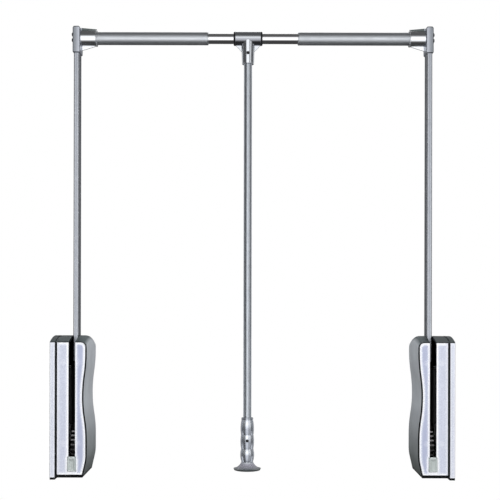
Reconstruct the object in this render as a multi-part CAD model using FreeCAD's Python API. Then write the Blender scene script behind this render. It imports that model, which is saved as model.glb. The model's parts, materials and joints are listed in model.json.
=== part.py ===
import FreeCAD, Part
import math
import os

from FreeCAD import Vector

os.makedirs("parts", exist_ok=True)

# Pull-down clothes rail: two spring housings screwed to the side panels, two swing arms, a telescopic
# rail and a pull rod. Millimetres. X runs along the rail, -Y is the front and Z is up. X = 0 is midway
# between the side panels, Y = 0 is the plane of the upright arms and Z = 0 is the bottom edge of the
# wall plates. Each side is modelled at +X and mirrored.

# Layout
arm_half_span = 345.5
arm_to_wall = 42.5
pivot_height = 60.0
rail_height = 859.0
pull_offset = -10.0

# Clearances
running_fit = 0.05
seat_fit = 0.02
loose_fit = 0.3

# Edges nearer than touch to a plane are taken as lying in it, and fused shapes run into each other by sink
touch = 0.01
sink = 1.0

# Housing
housing_front = -60.0
housing_back = 63.0
front_edge_height = 263.0
crown_rise = 11.5
chassis_bottom = 4.0
chassis_wall = 3.0
rim_depth = 4.0
rim_width = 2.0
groove_width = 4.0
lip_wall = 1.5
flank_corner = 12.0
upper_crest_in = 27.5
upper_crest_drop = 20.0
waist_in = 21.4
waist_height = 158.0
lower_crest_in = 28.0
lower_crest_height = 76.0
chamfer_height = 39.0
chamfer_round = 80.0
toe_in = 20.0

# Wall plate
plate_thickness = 10.0
plate_skin = 3.0
plate_rim = 5.0
trim_bottom = 4.8
trim_round = 1.2
mount_hole_radius = 2.5
mount_boss_radius = 7.0
countersink_radius = 5.0
countersink_depth = 2.5
mount_spacing_y = 90.0
mount_spacing_z = 180.0
mount_centre_y = 3.0
mount_centre_height = 150.0

# Covers
side_cover_wall = 2.5
side_cover_bottom = 8.0
side_cover_over_top = 15.0
front_cover_wall = 3.0
front_cover_bottom = 9.9
front_corner = 9.0
cover_round = 0.8
peg_radius = 2.0
peg_length = 3.0
front_peg_inset = 12.0
front_peg_heights = (70.0, 225.0)
side_peg_y = (-30.0, 35.0)
side_peg_heights = (70.0, 225.0)
trim_peg_heights = (30.0, 130.0, 230.0)
slot_width = 12.5
slot_end_height = 44.0
top_slot_back = 18.0

# Bumper
bumper_width = 16.0
bumper_bottom = 16.5
bumper_proud = 3.0
bumper_round = 1.6
bumper_top_corner = 3.6
bumper_bottom_corner = 2.2
bumper_tongue_bottom = 22.0

# Axle and arm root
axle_radius = 6.0
boss_radius = 12.0
post_radius = 10.0
bore_depth = 28.0
bush_radius = 8.0
bush_flange_radius = 11.0
bush_flange = 1.0
root_width = 12.0
shoulder_length = 39.0
lever_length = 165.0
tongue_length = 44.0
rivet_radius = 2.5
rivet_head_radius = 4.2
rivet_head = 0.6
rivet_inset = 10.0
rivet_pitch = 14.0

# Toothed sector and damper pinion
gear_module = 3.0
pressure_angle = math.radians(30.0)
sector_teeth = 24
sector_cut_teeth = 9
pinion_teeth = 8
addendum = 0.8 * gear_module
dedendum = 1.0 * gear_module
tooth_thinning = 0.4
mesh_easing = 0.3
pinion_direction = math.radians(-46.0)
pinion_width = 11.0
pinion_shaft_radius = 3.0
pinion_shaft = 9.0
damper_radius = 12.5
damper_length = 19.0
damper_ear_radius = 4.5
damper_ear = 4.0
damper_ear_reach = 15.5
damper_ear_turn = math.radians(30.0)
damper_screw_radius = 1.5
damper_screw_head_radius = 2.7
damper_screw_head = 1.5
damper_screw = 10.0

# Crank, plunger and lift spring
swing_angle = math.radians(90.0)
crank_radius = 26.0
crank_pin_radius = 4.0
plunger_thickness = 17.0
plunger_depth = 25.0
plunger_gap = 3.0
plunger_wall = 6.0
yoke_slack = 1.0
spring_axis_y = 24.0
spring_wire = 2.8
spring_radius = 7.1
spring_turns = 17
plunger_head_radius = 8.4
plunger_head = 5.0
stem_radius = 3.5
sleeve_wall = 1.8
sleeve_gap = 0.8
sleeve_bottom = 100.0
sleeve_top = 209.0
sleeve_cap = 4.0
sleeve_foot_height = 12.0
sleeve_foot_width = 12.0
sleeve_foot_inset = 8.0
socket_wall = 3.0
socket_height = 6.0
stem_past_cap = 5.0
guide_width = 10.0
guide_gap = 0.4
guide_below_sleeve = 5.0

# Locking screws under the housing, and the slot across a screw's head
drive_slot = 1.0
lock_screw_radius = 1.95
lock_screw = 12.0
lock_head_radius = 3.8
lock_head = 2.4
lug_height = 11.0
lug_width = 12.0
lug_reach = 27.0
lock_screw_inset = 8.0
lock_screw_y = (-4.0, 46.0)

# Swing arm
arm_width = 10.5
arm_depth = 30.0
arm_wall = 1.2
arm_round = 2.2

# Rail bracket
bracket_width = 14.6
bracket_depth = 36.0
bracket_below_rail = 31.0
bracket_above_rail = 21.0
bracket_cap = 6.0
bracket_round = 2.2
bracket_crown_round = 4.0
bracket_foot_chamfer = 1.5
bracket_end_wall = 2.0
socket_radius = 15.25
socket_length = 31.2
socket_lip = 0.8
rib_thickness = 3.0
rib_rise = 5.4
rib_end_rise = 2.6
gusset_drop = 9.5
bracket_screw_rise = 2.4
bracket_screw_spacing = 11.0
bracket_screw_radius = 2.0
bracket_head_radius = 4.0
bracket_head = 4.2
bracket_screw = 32.0
hex_radius = 2.1
hex_depth = 2.2

# Telescopic rail
rail_radius = 12.5
rail_wall = 1.2
rail_end = 90.0
plug_length = 24.0
end_bush_length = 30.0
end_bush_lip = 2.0
inner_radius = 10.0
inner_wall = 1.2
inner_half_length = 200.0
guide_plug = 20.0
guide_collar = 6.0

# Tee and pull rod
tee_length = 57.0
tee_radius = 13.7
tee_bore_radius = 11.8
tee_flange = 3.6
tee_flange_round = 2.6
tee_spigot = 14.0
tee_drop = 50.5
tee_stem_radius = 13.4
tee_stem_tip_radius = 11.7
tee_stem_chamfer = 1.0
tee_gusset = 12.0
tee_gusset_thickness = 3.0
tee_gusset_inset = 1.0
tee_screw_drop = 30.0
ring_radius = 11.5
rod_radius = 8.0
rod_wall = 1.2
rod_below_rail = 17.0
rod_length = 798.0
set_screw_radius = 1.5
set_head_radius = 2.8
set_head = 2.2
set_screw_sink = 1.4

# Handle, with its heights measured down from its top
rod_in_handle = 69.0
handle_collar_radius = 11.6
handle_collar = 3.5
handle_collar_step = 0.5
crease_drops = (33.4, 61.3, 86.5)
crease_radii = (12.2, 12.0, 11.5)
swell_radii = (13.1, 13.3, 13.6)
flare_radius = 27.0
flare_drop = 99.6
flare_bow_out = 0.35
flare_bow_up = 0.38
foot_radius = 25.4
foot_drop = 102.6
foot_rim = 3.0
foot_dish = 2.0
foot_dish_radius = 8.0
handle_screw_drop = 44.0

# Places that follow from the sizes above
wall_x = arm_half_span + arm_to_wall
plate_x = wall_x - plate_thickness
groove_x = plate_x - groove_width
skin_x = wall_x - plate_skin
cover_back = housing_front + front_cover_wall
crown_y = (housing_front + housing_back) / 2
crown_half = (housing_back - housing_front) / 2
crown_radius = (crown_half**2 + crown_rise**2) / (2 * crown_rise)
crown_centre = front_edge_height + crown_rise - crown_radius
above_all = 2 * front_edge_height
upper_crest_height = front_edge_height - upper_crest_drop
cover_edge_x = arm_half_span - upper_crest_in + side_cover_over_top
root_left = arm_half_span - root_width / 2
root_right = arm_half_span + root_width / 2
boss_end = root_left - bush_flange - loose_fit
post_start = root_right + bush_flange + loose_fit
pitch_radius = gear_module * sector_teeth / 2
pinion_pitch_radius = gear_module * pinion_teeth / 2
gear_distance = pitch_radius + pinion_pitch_radius + mesh_easing
pinion_y = -gear_distance * math.cos(pinion_direction)
pinion_z = pivot_height + gear_distance * math.sin(pinion_direction)
root_circle = pitch_radius - dedendum
crank_y = crank_radius * math.cos(swing_angle / 2)
crank_z = pivot_height - crank_radius * math.sin(swing_angle / 2)
plunger_x = root_right + plunger_gap
spring_axis_x = plunger_x + plunger_thickness / 2
yoke_half = crank_pin_radius + yoke_slack
plunger_top = crank_z + yoke_half + plunger_wall
spring_seat = plunger_top + plunger_head
spring_top = sleeve_top - sleeve_cap
sleeve_bore = spring_radius + spring_wire / 2 + sleeve_gap
sleeve_radius = sleeve_bore + sleeve_wall
damper_x = root_right + bush_flange + loose_fit
pad_x = damper_x + damper_length
lug_bottom = chassis_bottom + chassis_wall
lock_screw_x = plate_x - lug_reach + lock_screw_inset + plate_thickness - plate_skin
arm_bottom = pivot_height + lever_length
rivet_heights = [arm_bottom + rivet_inset + i * rivet_pitch for i in range(2)]
bracket_bottom = rail_height - bracket_below_rail
bracket_top = rail_height + bracket_above_rail
arm_top = bracket_top - bracket_cap
bracket_screw_middle = rail_height + bracket_screw_rise
bracket_screw_heights = [bracket_screw_middle + side * bracket_screw_spacing / 2 for side in (-1, 1)]
bracket_x = arm_half_span - bracket_width / 2
socket_end = bracket_x - socket_length
rail_start = bracket_x - bracket_end_wall
rail_bore = rail_radius - rail_wall
inner_bore = inner_radius - inner_wall
tee_left = pull_offset - tee_length / 2
tee_right = pull_offset + tee_length / 2
tee_bottom = rail_height - tee_drop
tee_screw_height = rail_height - tee_screw_drop
rod_top = rail_height - rod_below_rail
rod_bottom = rod_top - rod_length
handle_top = rod_bottom + rod_in_handle
crease_heights = [handle_top - drop for drop in crease_drops]
flare_height = handle_top - flare_drop
foot_height = handle_top - foot_drop
handle_screw_height = handle_top - handle_screw_drop


# Basic solids

def box(x0, x1, y0, y1, z0, z1):
    return Part.makeBox(x1 - x0, y1 - y0, z1 - z0, Vector(x0, y0, z0))


def rod_x(x0, x1, y, z, radius):
    return Part.makeCylinder(radius, x1 - x0, Vector(x0, y, z), Vector(1, 0, 0))


def rod_y(y0, y1, x, z, radius):
    return Part.makeCylinder(radius, y1 - y0, Vector(x, y0, z), Vector(0, 1, 0))


def rod_z(z0, z1, x, y, radius):
    return Part.makeCylinder(radius, z1 - z0, Vector(x, y, z0), Vector(0, 0, 1))


def tube_x(x0, x1, y, z, outer, inner):
    return rod_x(x0, x1, y, z, outer).cut(rod_x(x0, x1, y, z, inner))


def tube_z(z0, z1, x, y, outer, inner):
    return rod_z(z0, z1, x, y, outer).cut(rod_z(z0, z1, x, y, inner))


def line(a, b):
    return Part.LineSegment(a, b).toShape()


def arc(a, middle, b):
    return Part.Arc(a, middle, b).toShape()


def prism(edges, along):
    return Part.Face(Part.Wire(edges)).extrude(along)


def polygon_prism(points, along):
    return Part.Face(Part.makePolygon(points + points[:1])).extrude(along)


def hex_prism(x0, x1, y, z, radius):
    turns = [math.pi / 3 * i for i in range(6)]
    corners = [Vector(x0, y + radius * math.cos(t), z + radius * math.sin(t)) for t in turns]
    return polygon_prism(corners, Vector(x1 - x0, 0, 0))


def round_bar(width, depth, z0, z1, radius):
    bar = box(arm_half_span - width / 2, arm_half_span + width / 2, -depth / 2, depth / 2, z0, z1)
    return bar.makeFillet(radius, edges_along(bar, Vector(0, 0, 1)))


def edges_along(solid, axis):
    return [e for e in solid.Edges if e.tangentAt(e.FirstParameter).cross(axis).Length < touch]


def mirrored(shape):
    return shape.mirror(Vector(0, 0, 0), Vector(1, 0, 0))


def whole(shape):
    return shape.removeSplitter().Solids[0]


def save(name, *solids):
    shape = solids[0] if len(solids) == 1 else Part.makeCompound(solids)
    shape.exportStep("parts/" + name + ".step")


def save_pair(name, *solids):
    save("right_" + name, *solids)
    save("left_" + name, *[mirrored(s) for s in solids])


# Outline of the housing

def sway(x0, z0, x1, z1):
    # two equal arcs, upright at both ends, that lead from one upright line to another
    middle_x = (x0 + x1) / 2
    middle_z = (z0 + z1) / 2
    half = (z1 - z0) / 2
    offset = (x1 - x0) / 2
    radius = (half**2 + offset**2) / (2 * abs(offset))
    bow = math.copysign(radius - math.sqrt(radius**2 - half**2 / 4), offset)
    first = arc(Vector(x0, 0, z0), Vector(x0 + bow, 0, z0 + half / 2), Vector(middle_x, 0, middle_z))
    last = arc(Vector(middle_x, 0, middle_z), Vector(x1 - bow, 0, z1 - half / 2), Vector(x1, 0, z1))
    return [first, last]


def flank_prism(inset, x1, y0, y1, z0):
    # the front outline with its waved flank moved inwards by inset, from y0 to y1
    toe_x = arm_half_span - toe_in + inset
    low_x = arm_half_span - lower_crest_in + inset
    waist_x = arm_half_span - waist_in + inset
    high_x = arm_half_span - upper_crest_in + inset
    lean = math.atan2(toe_x - low_x, chamfer_height - chassis_bottom)
    ease = chamfer_round * math.tan(lean / 2)
    turn_x = low_x + chamfer_round
    turn_z = chamfer_height + ease
    start = Vector(toe_x + math.tan(lean) * (chassis_bottom - z0), 0, z0)
    chamfer_end = Vector(turn_x - chamfer_round * math.cos(lean), 0, turn_z - chamfer_round * math.sin(lean))
    turn = Vector(
        turn_x - chamfer_round * math.cos(lean / 2), 0, turn_z - chamfer_round * math.sin(lean / 2)
    )
    upright = Vector(low_x, 0, turn_z)
    bulge = Vector(low_x, 0, lower_crest_height)
    crest = Vector(high_x, 0, upper_crest_height)
    top = Vector(high_x, 0, above_all)
    far_top = Vector(x1, 0, above_all)
    far_bottom = Vector(x1, 0, z0)
    edges = [line(start, chamfer_end), arc(chamfer_end, turn, upright), line(upright, bulge)]
    edges += sway(low_x, lower_crest_height, waist_x, waist_height)
    edges += sway(waist_x, waist_height, high_x, upper_crest_height)
    edges += [line(crest, top), line(top, far_top), line(far_top, far_bottom), line(far_bottom, start)]
    outline = prism(edges, Vector(0, y1 - y0, 0))
    outline.translate(Vector(0, y0, 0))
    return outline


def crown_height(y, drop):
    return crown_centre + math.sqrt((crown_radius - drop) ** 2 - (y - crown_y) ** 2)


def crown_prism(drop, x0, x1, y0, y1, z0):
    # the side outline with its crowned top lowered by drop, from x0 to x1
    front_top = Vector(x0, y0, crown_height(y0, drop))
    middle_top = Vector(x0, (y0 + y1) / 2, crown_height((y0 + y1) / 2, drop))
    back_top = Vector(x0, y1, crown_height(y1, drop))
    front = Vector(x0, y0, z0)
    back = Vector(x0, y1, z0)
    crown = arc(back_top, middle_top, front_top)
    edges = [line(front, back), line(back, back_top), crown, line(front_top, front)]
    return prism(edges, Vector(x1 - x0, 0, 0))


def envelope(inset, drop, x1, y0, y1, z0, corner):
    flank_x = arm_half_span - upper_crest_in + inset
    solid = flank_prism(inset, x1, y0, y1, z0)
    solid = solid.common(crown_prism(drop, arm_half_span - 2 * lower_crest_in, x1, y0, y1, z0))
    edges = [
        e
        for e in solid.Edges
        if abs(e.BoundBox.XMin - flank_x) < touch
        and abs(e.BoundBox.XMax - flank_x) < touch
        and e.BoundBox.ZMin > upper_crest_height
    ]
    return solid.makeFillet(corner, edges)


# Housing pieces

peg_places = [
    (x, z) for x in (groove_x - front_peg_inset, arm_half_span - front_peg_inset) for z in front_peg_heights
]
side_peg_places = [(y, z) for y in side_peg_y for z in side_peg_heights]
damper_ears = [
    (
        pinion_y + side * damper_ear_reach * math.cos(damper_ear_turn),
        pinion_z + side * damper_ear_reach * math.sin(damper_ear_turn),
    )
    for side in (-1, 1)
]
foot_heights = (sleeve_bottom + sleeve_foot_inset, sleeve_top - sleeve_foot_inset - sleeve_foot_height)
mount_places = [
    (mount_centre_y + sy * mount_spacing_y / 2, mount_centre_height + sz * mount_spacing_z / 2)
    for sy in (-1, 1)
    for sz in (-1, 1)
]


def sleeve_foot(z, grow):
    y0 = spring_axis_y - sleeve_foot_width / 2 - grow
    y1 = spring_axis_y + sleeve_foot_width / 2 + grow
    return box(spring_axis_x, skin_x, y0, y1, z - grow, z + sleeve_foot_height + grow)


def wall_plate():
    plate = crown_prism(0, plate_x, wall_x, cover_back, housing_back, 0)
    tray = crown_prism(
        plate_rim, plate_x, skin_x, cover_back + plate_rim, housing_back - plate_rim, plate_rim
    )
    solid = plate.cut(tray)
    adds = [rod_x(plate_x, skin_x, y, z, mount_boss_radius) for y, z in mount_places]
    adds += [rod_x(post_start, skin_x, 0, pivot_height, post_radius)]
    adds += [rod_x(pad_x, skin_x, pinion_y, pinion_z, damper_radius)]
    adds += [rod_x(pad_x, skin_x, y, z, damper_ear_radius) for y, z in damper_ears]
    lug_top = lug_bottom + lug_height
    adds += [
        box(plate_x - lug_reach, skin_x, y - lug_width / 2, y + lug_width / 2, lug_bottom, lug_top)
        for y in lock_screw_y
    ]
    guide_x = plunger_x + plunger_thickness + guide_gap
    adds += [
        box(
            guide_x,
            skin_x,
            spring_axis_y - guide_width / 2,
            spring_axis_y + guide_width / 2,
            crank_z - yoke_half - plunger_wall,
            sleeve_bottom - guide_below_sleeve,
        )
    ]
    for z in foot_heights:
        foot = sleeve_foot(z, socket_wall)
        adds += [foot.common(box(skin_x - socket_height, skin_x, cover_back, housing_back, 0, above_all))]
    solid = solid.fuse(adds)
    cuts = [rod_x(plate_x, wall_x, y, z, mount_hole_radius) for y, z in mount_places]
    cuts += [
        Part.makeCone(
            countersink_radius,
            mount_hole_radius,
            countersink_depth,
            Vector(plate_x, y, z),
            Vector(1, 0, 0),
        )
        for y, z in mount_places
    ]
    cuts += [rod_x(post_start, post_start + bore_depth, 0, pivot_height, axle_radius + seat_fit)]
    cuts += [
        rod_x(pad_x, pad_x + damper_screw - damper_ear, y, z, damper_screw_radius + seat_fit)
        for y, z in damper_ears
    ]
    cuts += [
        rod_z(lug_bottom, chassis_bottom + lock_screw, lock_screw_x, y, lock_screw_radius + seat_fit)
        for y in lock_screw_y
    ]
    cuts += [
        rod_y(cover_back, cover_back + peg_length, plate_x + plate_thickness / 2, z, peg_radius + seat_fit)
        for z in trim_peg_heights
    ]
    cuts += [sleeve_foot(z, seat_fit) for z in foot_heights]
    return whole(solid.cut(cuts))


def wall_trim():
    strip = box(plate_x, wall_x, housing_front, cover_back, trim_bottom, front_edge_height)
    uprights = edges_along(strip, Vector(0, 0, 1))
    front = [e for e in uprights if e.BoundBox.YMax < housing_front + touch]
    strip = strip.makeFillet(trim_round, front)
    pegs = [
        rod_y(cover_back, cover_back + peg_length, plate_x + plate_thickness / 2, z, peg_radius)
        for z in trim_peg_heights
    ]
    return whole(strip.fuse(pegs))


def housing_shell():
    return envelope(0, 0, groove_x, cover_back, housing_back, chassis_bottom, flank_corner)


def under_side_cover(depth):
    # the housing's outline lowered by depth on the flank, on the top and on the corner between them
    return envelope(depth, depth, plate_x, cover_back, housing_back, 0, flank_corner - depth)


def side_cover_skin():
    zone = box(0, cover_edge_x, cover_back + rim_depth, housing_back, side_cover_bottom, above_all)
    return housing_shell().common(zone).cut(under_side_cover(side_cover_wall))


def chassis():
    lip = crown_prism(
        lip_wall, groove_x, plate_x, cover_back + lip_wall, housing_back - lip_wall, chassis_bottom + lip_wall
    )
    inner_front = cover_back + chassis_wall
    inner_back = housing_back - chassis_wall
    inner_bottom = chassis_bottom + chassis_wall
    wall = side_cover_wall + chassis_wall
    hollow = envelope(wall, wall, wall_x, inner_front, inner_back, inner_bottom, flank_corner - wall)
    solid = housing_shell().fuse(lip).cut(side_cover_skin()).cut(hollow)
    boss = rod_x(arm_half_span - lower_crest_in, boss_end, 0, pivot_height, boss_radius)
    solid = solid.fuse(boss.common(under_side_cover(side_cover_wall)))
    slot_left = arm_half_span - slot_width / 2
    slot_right = arm_half_span + slot_width / 2
    cuts = [box(slot_left, slot_right, cover_back, inner_front, bumper_tongue_bottom, above_all)]
    slot_floor = front_edge_height - 2 * wall
    cuts += [box(slot_left, slot_right, cover_back, top_slot_back, slot_floor, above_all)]
    cuts += [rod_x(boss_end - bore_depth / 2, boss_end, 0, pivot_height, axle_radius + seat_fit)]
    cuts += [rod_y(cover_back, inner_front, x, z, peg_radius + seat_fit) for x, z in peg_places]
    cuts += [
        rod_x(arm_half_span - lower_crest_in, arm_half_span - toe_in, y, z, peg_radius + seat_fit)
        for y, z in side_peg_places
    ]
    cuts += [
        rod_z(chassis_bottom, inner_bottom, lock_screw_x, y, lock_screw_radius + seat_fit)
        for y in lock_screw_y
    ]
    return whole(solid.cut(cuts))


def side_cover():
    inside = under_side_cover(side_cover_wall)
    peg_reach = under_side_cover(side_cover_wall + peg_length)
    pegs = []
    for y, z in side_peg_places:
        peg = rod_x(arm_half_span - lower_crest_in, arm_half_span, y, z, peg_radius)
        pegs.append(peg.common(inside).cut(peg_reach))
    return whole(side_cover_skin().fuse(pegs))


def front_cover():
    outline = flank_prism(rim_width, groove_x, housing_front, cover_back, front_cover_bottom)
    plate = outline.common(box(0, wall_x, housing_front, cover_back, front_cover_bottom, front_edge_height))
    corner_x = arm_half_span - upper_crest_in + rim_width
    corner = [
        e
        for e in edges_along(plate, Vector(0, 1, 0))
        if abs(e.BoundBox.XMax - corner_x) < touch and e.BoundBox.ZMin > front_edge_height - touch
    ]
    plate = plate.makeFillet(front_corner, corner)
    slot = box(
        arm_half_span - slot_width / 2,
        arm_half_span + slot_width / 2,
        housing_front,
        cover_back,
        slot_end_height,
        above_all,
    )
    seat = bumper_width / 2 + seat_fit
    recess = box(
        arm_half_span - seat,
        arm_half_span + seat,
        housing_front,
        cover_back,
        bumper_bottom - seat_fit,
        slot_end_height,
    )
    plate = plate.cut([slot, recess])
    front = [
        e
        for e in plate.Edges
        if abs(e.BoundBox.YMin - housing_front) < touch and abs(e.BoundBox.YMax - housing_front) < touch
    ]
    plate = plate.makeFillet(cover_round, front)
    pegs = [rod_y(cover_back, cover_back + peg_length, x, z, peg_radius) for x, z in peg_places]
    return whole(plate.fuse(pegs))


def bumper():
    half = bumper_width / 2
    front = housing_front - bumper_proud
    pad = box(arm_half_span - half, arm_half_span + half, front, cover_back, bumper_bottom, slot_end_height)
    corners = edges_along(pad, Vector(0, 1, 0))
    top_corners = [e for e in corners if e.BoundBox.ZMin > slot_end_height - touch]
    pad = pad.makeFillet(bumper_top_corner, top_corners)
    corners = edges_along(pad, Vector(0, 1, 0))
    low_corners = [e for e in corners if e.BoundBox.ZMax < bumper_bottom + touch]
    pad = pad.makeFillet(bumper_bottom_corner, low_corners)
    edges = [e for e in pad.Edges if e.BoundBox.YMax < front + touch]
    pad = pad.makeFillet(bumper_round, edges)
    tongue = box(
        arm_half_span - slot_width / 2 + seat_fit,
        arm_half_span + slot_width / 2 - seat_fit,
        cover_back,
        cover_back + chassis_wall,
        bumper_tongue_bottom + seat_fit,
        slot_end_height,
    )
    return whole(pad.fuse(tongue))


def lock_screws():
    screws = []
    for y in lock_screw_y:
        shank = rod_z(chassis_bottom, chassis_bottom + lock_screw, lock_screw_x, y, lock_screw_radius)
        head = rod_z(chassis_bottom - lock_head, chassis_bottom, lock_screw_x, y, lock_head_radius)
        drive = box(
            lock_screw_x - lock_head_radius,
            lock_screw_x + lock_head_radius,
            y - drive_slot / 2,
            y + drive_slot / 2,
            chassis_bottom - lock_head,
            chassis_bottom - lock_head / 2,
        )
        screws.append(whole(shank.fuse(head).cut(drive)))
    return screws


# Toothed sector on the arm root, and the damper's pinion

def involute(angle):
    return math.tan(angle) - angle


def tooth(radius, direction, y, z, x0, x1):
    # one tooth along direction, measured from the front (-Y) upwards, with its foot sunk into the blank
    base = radius * math.cos(pressure_angle)
    low = max(base, radius - dedendum)
    steps = 5
    half_pitch = (math.pi * gear_module / 2 - tooth_thinning) / (2 * radius)
    flank = []
    for i in range(steps + 1):
        r = low + (radius + addendum - low) * i / steps
        lean = half_pitch + involute(pressure_angle) - involute(math.acos(min(1.0, base / r)))
        flank.append((r, lean))
    flank.insert(0, (radius - dedendum - sink, flank[0][1]))
    outline = [(r, -lean) for r, lean in flank] + [(r, lean) for r, lean in reversed(flank)]
    points = [
        Vector(x0, y - r * math.cos(direction + lean), z + r * math.sin(direction + lean))
        for r, lean in outline
    ]
    return polygon_prism(points, Vector(x1 - x0, 0, 0))


def arm_root():
    blank = rod_x(root_left, root_right, 0, pivot_height, root_circle)
    pitch = 2 * math.pi / sector_teeth
    teeth = [
        tooth(pitch_radius, pinion_direction + pitch * (i - 1.5), 0, pivot_height, root_left, root_right)
        for i in range(sector_cut_teeth)
    ]
    shoulder_top = pivot_height + shoulder_length
    shoulder = box(root_left, root_right, -arm_depth / 2, arm_depth / 2, pivot_height, shoulder_top)
    lever = round_bar(arm_width, arm_depth, pivot_height, arm_bottom, arm_round)
    tongue = round_bar(
        arm_width - 2 * arm_wall - 2 * seat_fit,
        arm_depth - 2 * arm_wall - 2 * seat_fit,
        pivot_height,
        arm_bottom + tongue_length,
        arm_round - arm_wall,
    )
    solid = blank.fuse(teeth + [shoulder, lever, tongue])
    cuts = [rod_x(root_left, root_right, 0, pivot_height, bush_radius + seat_fit)]
    cuts += [rod_x(root_left, root_right, crank_y, crank_z, crank_pin_radius + seat_fit)]
    cuts += [rod_x(root_left, root_right, 0, z, rivet_radius + seat_fit) for z in rivet_heights]
    return whole(solid.cut(cuts))


def damper_pinion():
    x0 = arm_half_span - pinion_width / 2
    x1 = arm_half_span + pinion_width / 2
    blank = rod_x(x0, x1, pinion_y, pinion_z, pinion_pitch_radius - dedendum)
    pitch = 2 * math.pi / pinion_teeth
    facing = pinion_direction + math.pi
    teeth = [
        tooth(pinion_pitch_radius, facing + pitch * i, pinion_y, pinion_z, x0, x1)
        for i in range(pinion_teeth)
    ]
    shaft = rod_x(x0, damper_x + pinion_shaft, pinion_y, pinion_z, pinion_shaft_radius)
    return whole(blank.fuse(teeth + [shaft]))


def damper_body():
    can = rod_x(damper_x, pad_x, pinion_y, pinion_z, damper_radius)
    ears = [rod_x(pad_x - damper_ear, pad_x, y, z, damper_ear_radius) for y, z in damper_ears]
    ears += [
        polygon_prism(ear_web(y, z), Vector(damper_ear, 0, 0)) for y, z in damper_ears
    ]
    solid = can.fuse(ears)
    bore_end = damper_x + pinion_shaft + loose_fit
    cuts = [rod_x(damper_x, bore_end, pinion_y, pinion_z, pinion_shaft_radius + running_fit)]
    cuts += [rod_x(pad_x - damper_ear, pad_x, y, z, damper_screw_radius + seat_fit) for y, z in damper_ears]
    return whole(solid.cut(cuts))


def ear_web(y, z):
    # four corners of the flat web between the can's axis and an ear
    across_y = -math.sin(damper_ear_turn) * damper_ear_radius
    across_z = math.cos(damper_ear_turn) * damper_ear_radius
    x = pad_x - damper_ear
    return [
        Vector(x, pinion_y + across_y, pinion_z + across_z),
        Vector(x, y + across_y, z + across_z),
        Vector(x, y - across_y, z - across_z),
        Vector(x, pinion_y - across_y, pinion_z - across_z),
    ]


def damper_screws():
    start = pad_x - damper_ear
    screws = []
    for y, z in damper_ears:
        shank = rod_x(start, start + damper_screw, y, z, damper_screw_radius)
        head = rod_x(start - damper_screw_head, start, y, z, damper_screw_head_radius)
        screws.append(whole(shank.fuse(head)))
    return screws


def arm_bushes():
    bushes = []
    half = root_width / 2 - loose_fit
    bore_radius = axle_radius + running_fit
    bore = rod_x(root_left - bush_flange, root_right + bush_flange, 0, pivot_height, bore_radius)
    for start, end, flange in (
        (root_left, root_left + half, root_left - bush_flange),
        (root_right - half, root_right, root_right),
    ):
        sleeve = rod_x(start, end, 0, pivot_height, bush_radius)
        collar = rod_x(flange, flange + bush_flange, 0, pivot_height, bush_flange_radius)
        bushes.append(whole(sleeve.fuse(collar).cut(bore)))
    return bushes


def axle():
    return rod_x(boss_end - bore_depth / 2, post_start + bore_depth, 0, pivot_height, axle_radius)


def crank_pin():
    return rod_x(root_left, plunger_x + plunger_thickness, crank_y, crank_z, crank_pin_radius)


# Plunger, lift spring and sleeve

def plunger():
    front = spring_axis_y - plunger_depth / 2
    back = spring_axis_y + plunger_depth / 2
    x1 = plunger_x + plunger_thickness
    block = box(plunger_x, x1, front, back, crank_z - yoke_half - plunger_wall, plunger_top)
    mouth_end = crank_radius + crank_pin_radius + yoke_slack - yoke_half
    mouth = box(plunger_x, x1, front, mouth_end, crank_z - yoke_half, crank_z + yoke_half)
    mouth = mouth.fuse(rod_x(plunger_x, x1, mouth_end, crank_z, yoke_half))
    head = rod_z(plunger_top, spring_seat, spring_axis_x, spring_axis_y, plunger_head_radius)
    stem = rod_z(plunger_top, sleeve_top + stem_past_cap, spring_axis_x, spring_axis_y, stem_radius)
    return whole(block.cut(mouth).fuse([head, stem]))


def spring_sleeve():
    barrel = rod_z(sleeve_bottom, sleeve_top, spring_axis_x, spring_axis_y, sleeve_radius)
    feet = [sleeve_foot(z, 0) for z in foot_heights]
    solid = barrel.fuse(feet)
    cuts = [rod_z(sleeve_bottom, spring_top, spring_axis_x, spring_axis_y, sleeve_bore)]
    cuts += [rod_z(spring_top, sleeve_top, spring_axis_x, spring_axis_y, stem_radius + loose_fit)]
    return whole(solid.cut(cuts))


def biarc(p0, t0, p1, t1):
    # two arcs that join p0 to p1 and leave and arrive along the unit tangents t0 and t1
    span = p1 - p0
    tangents = t0 + t1
    spread = 2 * (1 - t0.dot(t1))
    reach = span.dot(tangents)
    d = (math.sqrt(reach**2 + spread * span.dot(span)) - reach) / spread
    joint = (p0 + t0 * d + p1 - t1 * d) * 0.5
    return [tangent_arc(p0, t0, joint), tangent_arc(joint, (p1 - p0 - t0 * d - t1 * d).normalize(), p1)]


def tangent_arc(start, tangent, end):
    curve = Part.Arc(start, arc_middle(start, tangent, end), end)
    return curve.toShape()


def arc_middle(start, tangent, end):
    chord = end - start
    along = Vector(chord).normalize()
    side = tangent - along * tangent.dot(along)
    turn = math.atan2(side.Length, tangent.dot(along))
    return start + chord * 0.5 + side.normalize() * (chord.Length / 2 * math.tan(turn / 2))


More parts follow.
